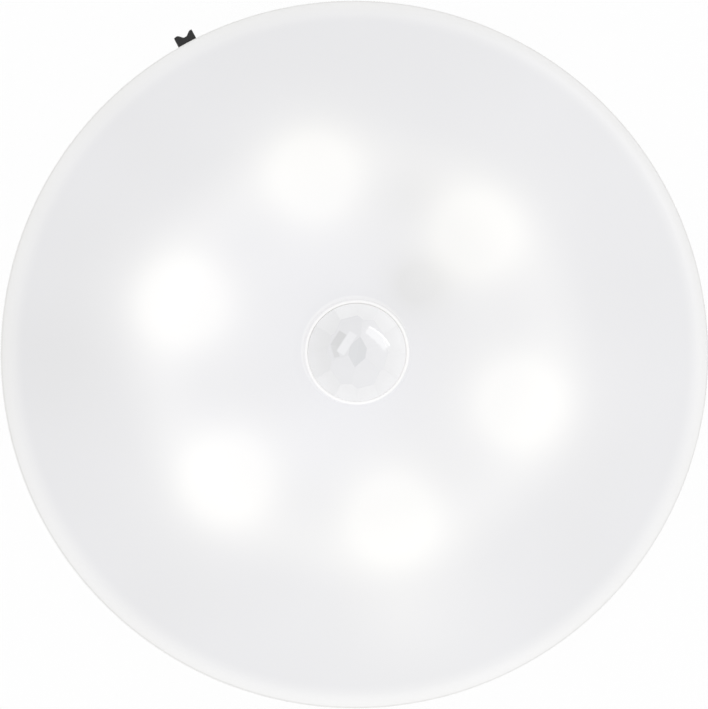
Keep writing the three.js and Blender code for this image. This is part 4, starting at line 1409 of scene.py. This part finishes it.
@dataclass
class BatteryDoor:
    """The door in the back: a leaf with finger grooves and a sprung tongue, hooks, ribs and a latch."""

    thickness: float = 1.3
    corner: float = 1.6
    edge: float = 0.25
    hook_spacing: float = 30.0
    hook_width: float = 5.0
    hook_root: float = 1.0
    hook_gap: float = 0.6
    hook_thickness: float = 1.0
    rib_spacing: float = 11.0
    rib_half_length: float = 20.6
    rib_width: float = 1.0
    rib_height: float = 1.0
    rib_edge: float = 0.2
    latch_width: float = 10.0
    slot_width: float = 0.8
    slot_length: float = 8.0
    slot_roundness: float = 0.98
    finger_inset: float = 0.9
    finger_thickness: float = 1.0
    finger_width: float = 8.0
    bead_reach: float = 0.3
    bead_height: float = 0.8
    groove_count: int = 3
    groove_length: float = 12.0
    groove_width: float = 0.8
    groove_depth: float = 0.4
    groove_pitch: float = 1.8
    groove_inset: float = 10.2
    groove_lip: float = 0.12
    groove_corner: float = 0.26
    extent: Extent = field(default_factory=lambda: extent_of("battery_door"))

    def _bar(self, outline: Sequence[Point], length: float, x: float = 0) -> Solid:
        """Draws an outline of Y and Z out along X, centred on a place."""
        bar = Solid.drawn(outline, -length / 2, length / 2)
        return bar.rotated(math.pi / 2, "X").rotated(math.pi / 2, "Z").moved(x)

    def build(self) -> Solid:
        """Models the door.

        Returns:
            The closed solid.
        """
        low, high = self.extent.low, self.extent.high
        half_y = high.y
        inner = low.z + self.thickness
        middle = low.z + self.thickness / 2
        leaf = Solid.drawn(rectangle(high.x, half_y, self.corner), low.z, inner)
        leaf.soften(self.edge, pick=lambda edge: max(v.co.z for v in edge.verts) < low.z + NEAR)
        hook_bottom = inner + self.hook_gap
        hook_top = hook_bottom + self.hook_thickness
        root = self.hook_root - half_y
        hook = rounded([
            (-half_y, middle, 0), (root, middle, 0), (root, hook_top, self.edge),
            (low.y, hook_top, self.edge), (low.y, hook_bottom, self.edge), (-half_y, hook_bottom, 0),
        ])
        hooks = [self._bar(hook, self.hook_width, side * self.hook_spacing / 2) for side in (-1, 1)]
        rib_half = self.rib_width / 2
        ribs = [
            Solid.block(
                (-self.rib_half_length, side * self.rib_spacing / 2 - rib_half, middle),
                (self.rib_half_length, side * self.rib_spacing / 2 + rib_half, inner + self.rib_height),
            ).soften(self.rib_edge) for side in (-1, 1)
        ]
        face = half_y - self.finger_inset - self.bead_reach
        back = face - self.finger_thickness
        finger = self._bar(rounded([
            (back, middle, 0), (face, middle, 0), (face, high.z - self.bead_height, 0.1),
            (face + self.bead_reach, high.z - self.bead_height / 2, 0.1),
            (face, high.z, 0.15), (back, high.z, 0.2),
        ]), self.finger_width)
        slot_low = half_y - self.slot_length
        slot_high = half_y + OVERRUN
        half = self.slot_width / 2
        end = half * self.slot_roundness
        slots = []
        for side in (-1, 1):
            centre = side * (self.latch_width + self.slot_width) / 2
            slots.append(Solid.drawn(rounded([
                (centre - half, slot_low, end), (centre + half, slot_low, end),
                (centre + half, slot_high, 0), (centre - half, slot_high, 0),
            ]), low.z - OVERRUN, inner + OVERRUN))
        grooves = [
            Solid.recess(
                self.groove_length / 2 - self.groove_lip, self.groove_width / 2 - self.groove_lip,
                self.groove_corner, self.groove_depth, self.groove_lip,
            ).moved(0, half_y - self.groove_inset - index * self.groove_pitch, low.z)
            for index in range(self.groove_count)
        ]
        door = leaf.combined([*hooks, *ribs, finger], Combine.JOIN)
        return door.combined([*slots, *grooves], Combine.CUT)


@dataclass
class SlideSwitch:
    """The slide switch's knob, with two peaks at its end, on the carriage that its shell holds."""

    knob_width: float = 2.4
    carriage_width: float = 4.8
    carriage_depth: float = 3.2
    middle: float = 35.7
    tip: float = 44.33
    valley_depth: float = 0.55
    valley_half: float = 0.2
    valley_place: float = 0.07
    peak_half: float = 0.7
    shoulder_half: float = 0.86
    shoulder_drop: float = 0.09
    heel_drop: float = 0.07
    peak_rise: float = 0.02
    corner: float = 0.2
    edge: float = 0.1
    extent: Extent = field(default_factory=lambda: extent_of("switch_knob"))

    def build(self) -> Solid:
        """Models the knob.

        Returns:
            The closed solid.
        """
        half, carriage = self.knob_width / 2, self.carriage_width / 2
        front = self.middle + self.carriage_depth / 2
        back = self.middle - self.carriage_depth / 2
        valley, shoulder = self.tip - self.valley_depth, self.tip - self.shoulder_drop
        carriage_corners = [
            (-half, front), (-carriage, front), (-carriage, back),
            (carriage, back), (carriage, front), (half, front),
        ]
        outline = rounded([
            *((x, y, self.corner) for x, y in carriage_corners),
            (half, shoulder, 0.06), (self.shoulder_half, shoulder, 0.26),
            (self.valley_place + self.valley_half, valley, 0.2),
            (self.valley_place - self.valley_half, valley, 0.22),
            (-self.peak_half, self.tip + self.peak_rise, 0.35), (-half, self.tip - self.heel_drop, 0.06),
        ], 5)
        knob = Solid.drawn(outline, self.extent.low.z, self.extent.high.z)
        low, high = self.extent.low.z + NEAR, self.extent.high.z - NEAR

        def on_face(edge: bmesh.types.BMEdge) -> bool:
            """Says if the edge bounds the knob's upper or lower face."""
            heights = [v.co.z for v in edge.verts]
            return max(heights) < low or min(heights) > high

        knob.soften(self.edge, 3, on_face)
        return knob.rotated(math.radians(SWITCH_DEGREES - 90), "Z")


@dataclass
class DryCell:
    """One cell, size AAA: a jacket over the can, a crimped rim at each end, a nub and a flat base."""

    number: int
    shoulder: float = 0.5
    nub_radius: float = 1.9
    nub_height: float = 0.8
    nub_foot: float = 0.5
    rim_width: float = 0.7
    rim_slope: float = 0.2
    crimp_width: float = 0.5
    seal_depth: float = 0.3
    film_edge: float = 0.15

    @property
    def extent(self) -> Extent:
        """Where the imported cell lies."""
        return extent_of(f"battery_{self.number}")

    @property
    def nub_side(self) -> int:
        """Which end along X has the nub."""
        return 1 if self.number % 2 else -1

    def build(self) -> Solid:
        """Models the cell.

        Returns:
            The closed solid, with the bare ends as its second material.
        """
        size, centre = self.extent.size, self.extent.centre
        length, radius = size.x, size.y / 2
        shoulder = length - self.nub_height
        rim = radius - self.shoulder
        base, crimp = rim - self.rim_width, rim - self.crimp_width
        seal = shoulder - self.seal_depth
        outline = rounded([
            (0, self.rim_slope, 0), (base - self.rim_slope, self.rim_slope, 0.1), (base, 0, 0.1),
            (rim, 0, 0.2), (radius, self.shoulder, 0.3), (radius, shoulder - self.shoulder, 0.3),
            (rim, shoulder, 0.2), (crimp, shoulder, 0.1), (crimp - self.rim_slope, seal, 0.1),
            (self.nub_radius + self.nub_foot, seal, 0.15), (self.nub_radius, shoulder, 0.1),
            (self.nub_radius, length, 0.3), (0, length, 0),
        ])
        cell = Solid.turned(outline, 96)
        cell.painted(1, lambda face: face.calc_center_median().to_2d().length < rim + self.film_edge)
        cell.moved(0, 0, -length / 2).rotated(self.nub_side * math.pi / 2, "Y")
        return cell.moved(centre.x, centre.y, centre.z)

    def dress(self) -> PrintedJacket:
        """Chooses the jacket, printed from its own nub's end."""
        centre = self.extent.centre
        return PrintedJacket(
            f"printed jacket of cell {self.number}", "#2f6b52", nub_side=self.nub_side,
            row=centre.y, middle=centre.x, half_length=self.extent.size.x / 2,
        )


@dataclass
class ConicalSpring:
    """One battery spring: round wire wound into a cone, with its wide end on the contact."""

    number: int
    wire: float = 0.4
    wide: float = 3.2
    narrow: float = 2.0
    turns: int = 3
    steps_per_turn: int = 40

    def build(self) -> Solid:
        """Winds the spring along its screw line and draws it in towards its narrow end.

        Returns:
            The closed solid.
        """
        extent = extent_of(f"battery_spring_{self.number}")
        side = 1 if extent.centre.x < 0 else -1
        length = extent.size.x
        rise = length - self.wire
        steps = self.turns * self.steps_per_turn
        mesh = bmesh.new()
        section = bmesh.ops.create_circle(
            mesh, segments=10, radius=self.wire / 2,
            matrix=Matrix.Translation((self.wide, 0, self.wire / 2)) @ Matrix.Rotation(math.pi / 2, 4, "X"),
        )["verts"]
        ring = list({edge for vert in section for edge in vert.link_edges})
        bmesh.ops.spin(
            mesh, geom=[*section, *ring], cent=(0, 0, 0), axis=(0, 0, 1), dvec=(0, 0, rise / steps),
            angle=FULL_TURN * self.turns, steps=steps,
        )
        bmesh.ops.holes_fill(mesh, edges=[edge for edge in mesh.edges if edge.is_boundary], sides=0)
        for vert in mesh.verts:
            share = min(max((vert.co.z - self.wire / 2) / rise, 0), 1)
            away = vert.co.to_2d()
            inward = away.normalized() * ((self.wide - self.narrow) * share)
            vert.co.x, vert.co.y = away - inward
        bmesh.ops.recalc_face_normals(mesh, faces=mesh.faces)
        spring = Solid(mesh).rotated(side * math.pi / 2, "Y")
        seat = extent.low.x if side > 0 else extent.high.x
        cell = extent_of(f"battery_{self.number}").centre
        return spring.moved(seat, cell.y, cell.z)


@dataclass
class ContactPlate:
    """One stamped contact: a leaf with rounded corners, perhaps a dimple for a nub or a tail to the board."""

    node: str
    dimple_row: float | None = None
    tail_row: float | None = None
    thickness: float = 0.4
    corner: float = 0.8
    dimple_radius: float = 2.0
    tail_width: float = 2.0
    tail_root: float = 2.0
    leaf_top: float = 11.6

    def build(self) -> Solid:
        """Models the contact.

        Returns:
            The closed solid.
        """
        extent = extent_of(self.node)
        side = 1 if extent.centre.x < 0 else -1
        back = extent.low.x if side > 0 else extent.high.x
        leaf = Solid.drawn(
            rectangle((self.leaf_top - extent.low.z) / 2, extent.size.y / 2, self.corner), 0, self.thickness,
        ).rotated(math.pi / 2, "Y").rotated(0 if side > 0 else math.pi, "Z")
        leaf.moved(back, extent.centre.y, (self.leaf_top + extent.low.z) / 2)
        added = []
        if self.dimple_row is not None:
            height, root, steps = extent.size.x - self.thickness, -self.thickness / 2, 8
            crown = [
                (self.dimple_radius * (1 - step / steps), height * math.sin(math.pi / 2 * step / steps))
                for step in range(steps + 1)
            ]
            dimple = Solid.turned([(0, root), (self.dimple_radius, root), *crown], 40)
            dimple.rotated(side * math.pi / 2, "Y")
            face, cell_axis = back + side * self.thickness, extent_of("battery_1").centre.z
            added.append(dimple.moved(face, self.dimple_row, cell_axis))
        if self.tail_row is not None:
            ends = sorted((back, back + side * self.thickness))
            half = self.tail_width / 2
            added.append(Solid.block(
                (ends[0], self.tail_row - half, self.leaf_top - self.tail_root),
                (ends[1], self.tail_row + half, extent.high.z),
            ))
        return leaf.combined(added, Combine.JOIN) if added else leaf


@dataclass
class PowerPack:
    """The three cells with their springs and contacts."""

    cells: tuple[DryCell, ...] = (DryCell(1), DryCell(2), DryCell(3))
    springs: tuple[ConicalSpring, ...] = (ConicalSpring(1), ConicalSpring(2), ConicalSpring(3))
    contacts: tuple[ContactPlate, ...] = (
        ContactPlate("negative_contact", tail_row=11.0),
        ContactPlate("positive_contact", dimple_row=-11.0, tail_row=-11.0),
        ContactPlate("bridge_contact_left", dimple_row=0.0),
        ContactPlate("bridge_contact_right", dimple_row=11.0),
    )

    def build(self) -> None:
        """Models and places every piece of the pack."""
        for cell in self.cells:
            cell.build().finished(
                f"dry_cell_{cell.number}", Body.HOUSING, Slot.CELL, [f"battery_{cell.number}"],
                [cell.dress().material(), BARE_STEEL.material()],
            )
        for spring in self.springs:
            spring.build().finished(
                f"cone_spring_{spring.number}", Body.HOUSING, Slot.STEEL, [f"battery_spring_{spring.number}"],
                [NICKEL.material()], crease=60,
            )
        for contact in self.contacts:
            contact.build().finished(
                f"{contact.node}_plate", Body.HOUSING, Slot.STEEL, [contact.node], [NICKEL.material()],
            )


@dataclass
class BackMagnet:
    """One pressed disc magnet with softly rounded rims."""

    node: str
    rounding: float = 0.35

    def build(self) -> Solid:
        """Models the magnet.

        Returns:
            The closed solid.
        """
        extent = extent_of(self.node)
        radius = extent.size.x / 2
        outline = rounded([
            (0, extent.low.z, 0), (radius, extent.low.z, self.rounding),
            (radius, extent.high.z, self.rounding), (0, extent.high.z, 0),
        ], 5)
        return Solid.turned(outline, 80).moved(extent.centre.x, extent.centre.y)


@dataclass
class LightDiode:
    """One diode: a white frame with a round well of yellow phosphor, lying along the ring."""

    number: int
    length: float = 3.5
    width: float = 2.8
    well_radius: float = 1.15
    well_depth: float = 0.18
    tool_rise: float = 0.2
    edge: float = 0.12

    @property
    def extent(self) -> Extent:
        """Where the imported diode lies."""
        return extent_of(f"led_{self.number}")

    def build(self) -> Solid:
        """Models the diode.

        Returns:
            The closed solid, with the phosphor as its second material.
        """
        extent = self.extent
        top = extent.high.z
        frame_block = Solid.block(
            (-self.width / 2, -self.length / 2, extent.low.z), (self.width / 2, self.length / 2, top),
        ).soften(self.edge)
        bottom, above = top - self.well_depth, top + self.tool_rise
        well = Solid.turned([
            (0, bottom), (self.well_radius, bottom), (self.well_radius + self.well_depth, above), (0, above),
        ], 40)
        diode = frame_block.combined([well], Combine.CUT)
        diode.painted(1, lambda face: abs(face.calc_center_median().z - bottom) < NEAR)
        angle = math.atan2(extent.centre.y, extent.centre.x)
        return diode.rotated(angle, "Z").moved(extent.centre.x, extent.centre.y)


@dataclass
class LightBoard:
    """The circuit board with its diodes, its screws and the small parts under it."""

    diodes: tuple[LightDiode, ...] = tuple(LightDiode(number) for number in range(1, 7))

    def build(self) -> None:
        """Models the diodes and dresses what is kept."""
        for diode in self.diodes:
            diode.build().finished(
                f"diode_{diode.number}", Body.HOUSING, Slot.LED, [f"led_{diode.number}"],
                [LED_FRAME.material(), PHOSPHOR.material()],
            )
        dress_node("led_board", BOARD_RESIST.material())
        for number in (1, 2, 3):
            dress_node(f"board_screw_{number}", NICKEL.material())
        for node in ("controller_chip", "voltage_regulator", *(f"resistor_{n}" for n in (1, 2, 3, 4))):
            dress_node(node, EPOXY.material())
        dress_node("storage_capacitor", SLEEVE.material())
        dress_node("light_sensor", COATED_CERAMIC.material())
        dress_node("pir_base", BRASS.material())
        dress_node("pir_can", NICKEL.material())
        dress_node("pir_window", SMOKED_WINDOW.material())
        dress_node("sensor_shroud", WHITE_ABS.material())
        dress_node("switch_base", BLACK_POM.material())
        dress_node("switch_shell", NICKEL.material())
        dress_node("switch_wiper", BRASS.material())


@dataclass(frozen=True)
class Softbox:
    """A large flat studio light that faces the night light."""

    name: str
    polar_degrees: float
    round_degrees: float
    distance: float
    size: Point
    power: float
    roll_degrees: float = 0.0
    lights_matt: bool = True
    lights_gloss: bool = True

    def hang(self) -> None:
        """Places the softbox in the scene."""
        data = bpy.data.lights.new(self.name, "AREA")
        data.shape = "RECTANGLE"
        data.size, data.size_y = (length * MM for length in self.size)
        data.energy = self.power
        polar, turn = math.radians(self.polar_degrees), math.radians(self.round_degrees)
        out = Vector((math.cos(turn), math.sin(turn), 0))
        away = out * math.sin(polar) + Vector((0, 0, math.cos(polar)))
        down = Vector((0, 0, math.sin(polar))) - out * math.cos(polar)
        item = bpy.data.objects.new(self.name, data)
        facing = Matrix((down, away.cross(down), away)).transposed().to_4x4()
        roll = Matrix.Rotation(math.radians(self.roll_degrees), 4, "Z")
        item.matrix_world = Matrix.Translation(away * self.distance * MM) @ facing @ roll
        item.visible_diffuse = self.lights_matt
        item.visible_glossy = self.lights_gloss
        bpy.context.scene.collection.objects.link(item)


@dataclass
class Studio:
    """Plain soft light, a white ground and the photograph's view."""

    target: tuple[float, float, float] = (-0.17, -0.1, 16.73)
    lens: float = 150.0
    sensor: float = 36.0
    view_size: float = 85.2
    lean_degrees: float = 1.85
    lean_towards_degrees: float = 41.0
    clip: Point = (0.01, 20.0)
    tent_span: Point = (-0.3, 0.2)
    sky: float = 0.97
    under: float = 0.6
    lamps: tuple[Softbox, ...] = (
        Softbox(
            "key", polar_degrees=51.2, round_degrees=35.0, distance=800.0, size=(270.0, 690.0),
            power=1.3, roll_degrees=14.0, lights_matt=False,
        ),
        Softbox(
            "bright edge of the key", polar_degrees=59.1, round_degrees=37.4, distance=780.0,
            size=(34.0, 680.0), power=0.26, roll_degrees=14.0, lights_matt=False,
        ),
        Softbox(
            "fill", polar_degrees=55.0, round_degrees=285.0, distance=1000.0, size=(900.0, 900.0),
            power=1.1, lights_gloss=False,
        ),
    )
    ground_height: float = -42.0
    ground_size: float = 3000.0
    paper: str = "#f8f8f8"
    clear_to_sight: float = 0.94
    clear_to_light: float = 0.8

    def camera(self) -> None:
        """Places the camera nearly square over the cover, leaning slightly to the lower left."""
        data = bpy.data.cameras.new("camera")
        data.lens, data.sensor_width = self.lens, self.sensor
        lean, towards = math.radians(self.lean_degrees), math.radians(self.lean_towards_degrees)
        away = math.sin(lean)
        back = Vector((-away * math.cos(towards), -away * math.sin(towards), math.cos(lean)))
        right = Vector((0, 1, 0)).cross(back).normalized()
        up = back.cross(right)
        distance = self.lens * self.view_size / self.sensor
        turn = Matrix((right, up, back)).transposed().to_4x4()
        item = bpy.data.objects.new("camera", data)
        item.matrix_world = Matrix.Translation((Vector(self.target) + back * distance) * MM) @ turn
        data.clip_start, data.clip_end = self.clip
        bpy.context.scene.collection.objects.link(item)
        bpy.context.scene.camera = item

    def world(self) -> None:
        """Surrounds the lamp with a white tent that gives less light from below."""
        world = bpy.data.worlds.new("white tent")
        world.use_nodes = True
        tree = world.node_tree
        tree.nodes.clear()
        place = add_node(tree, "TexCoord").outputs["Object"]
        height = add_node(tree, "SeparateXYZ", None, {0: place}).outputs[2]
        light = add_node(tree, "MapRange", None, {
            "Value": height, 1: self.tent_span[0], 2: self.tent_span[1], 3: self.under, 4: self.sky,
        })
        strength = add_node(tree, "Mix", None, {0: self._seen(tree), 2: light, 3: 1.0})
        tent = add_node(tree, "Background", None, {"Color": linear("#ffffff"), "Strength": strength})
        add_node(tree, "OutputWorld", None, {"Surface": tent})
        bpy.context.scene.world = world

    def _seen(self, tree: bpy.types.NodeTree) -> bpy.types.Node:
        """Is one for what is seen directly, in gloss or through clear plastic, and zero for matt light."""
        path = add_node(tree, "LightPath")
        direct = add_node(tree, "Math", {"operation": "MAXIMUM"}, {
            0: path.outputs["Is Camera Ray"], 1: path.outputs["Is Glossy Ray"],
        })
        return add_node(tree, "Math", {"operation": "MAXIMUM"}, {
            0: direct, 1: path.outputs["Is Transmission Ray"],
        })

    def ground(self) -> None:
        """Lays the pale floor well below the lamp, with room for the open door; it is clear from below."""
        mesh = bmesh.new()
        bmesh.ops.create_grid(mesh, x_segments=1, y_segments=1, size=self.ground_size / 2 * MM)
        bmesh.ops.translate(mesh, vec=(0, 0, self.ground_height * MM), verts=mesh.verts)
        data = bpy.data.meshes.new("floor")
        mesh.to_mesh(data)
        mesh.free()
        material = bpy.data.materials.new("white paper floor")
        material.use_nodes = True
        tree = material.node_tree
        tree.nodes.clear()
        paper = add_node(tree, "BsdfDiffuse", None, {"Color": linear(self.paper)})
        clear = add_node(tree, "BsdfTransparent")
        share = add_node(tree, "MapRange", None, {
            "Value": self._seen(tree), 1: 0.0, 2: 1.0, 3: self.clear_to_light, 4: self.clear_to_sight,
        })
        below = add_node(tree, "NewGeometry").outputs["Backfacing"]
        whole = add_node(tree, "Math", {"operation": "MAXIMUM"}, {0: share, 1: below})
        mix = add_node(tree, "MixShader", None, {0: whole, 1: paper, 2: clear})
        add_node(tree, "OutputMaterial", None, {"Surface": mix})
        data.materials.append(material)
        item = bpy.data.objects.new("floor", data)
        bpy.context.scene.collection.objects.link(item)

    def build(self) -> None:
        """Sets up camera, lights and ground."""
        self.camera()
        for lamp in self.lamps:
            lamp.hang()
        self.world()
        self.ground()
        bpy.context.scene.view_settings.view_transform = "Standard"


def main() -> None:
    """Builds and dresses every assembly of the lamp."""
    logging.basicConfig(level=logging.INFO, format="%(message)s")
    board = LightBoard()
    cover = DiffuserCover()
    glow = cover.dress([diode.extent for diode in board.diodes], extent_of("light_sensor"))
    cover.build().finished(
        "milky_cover", Body.HOUSING, Slot.DIFFUSER, ["diffuser_dome"], [glow.material()], crease=40,
    )
    lens = SensorLens()
    lens.build().finished("faceted_lens", Body.HOUSING, Slot.LENS, ["pir_lens"], [lens.dress().material()])
    BaseHousing().build().finished(
        "white_tray", Body.HOUSING, Slot.HOUSING, ["base_housing"], [WHITE_ABS.material()],
    )
    BatteryDoor().build().finished(
        "bay_door", Body.DOOR, Slot.HOUSING, ["battery_door"], [WHITE_ABS.material()],
    )
    SlideSwitch().build().finished(
        "slide_knob", Body.KNOB, Slot.BLACK, ["switch_knob"], [BLACK_POM.material()],
    )
    PowerPack().build()
    for node in ("magnet_upper", "magnet_lower"):
        BackMagnet(node).build().finished(
            f"{node}_disc", Body.HOUSING, Slot.MAGNET, [node], [MAGNET_NICKEL.material()],
        )
    board.build()
    Studio().build()


if __name__ == "__main__":
    main()
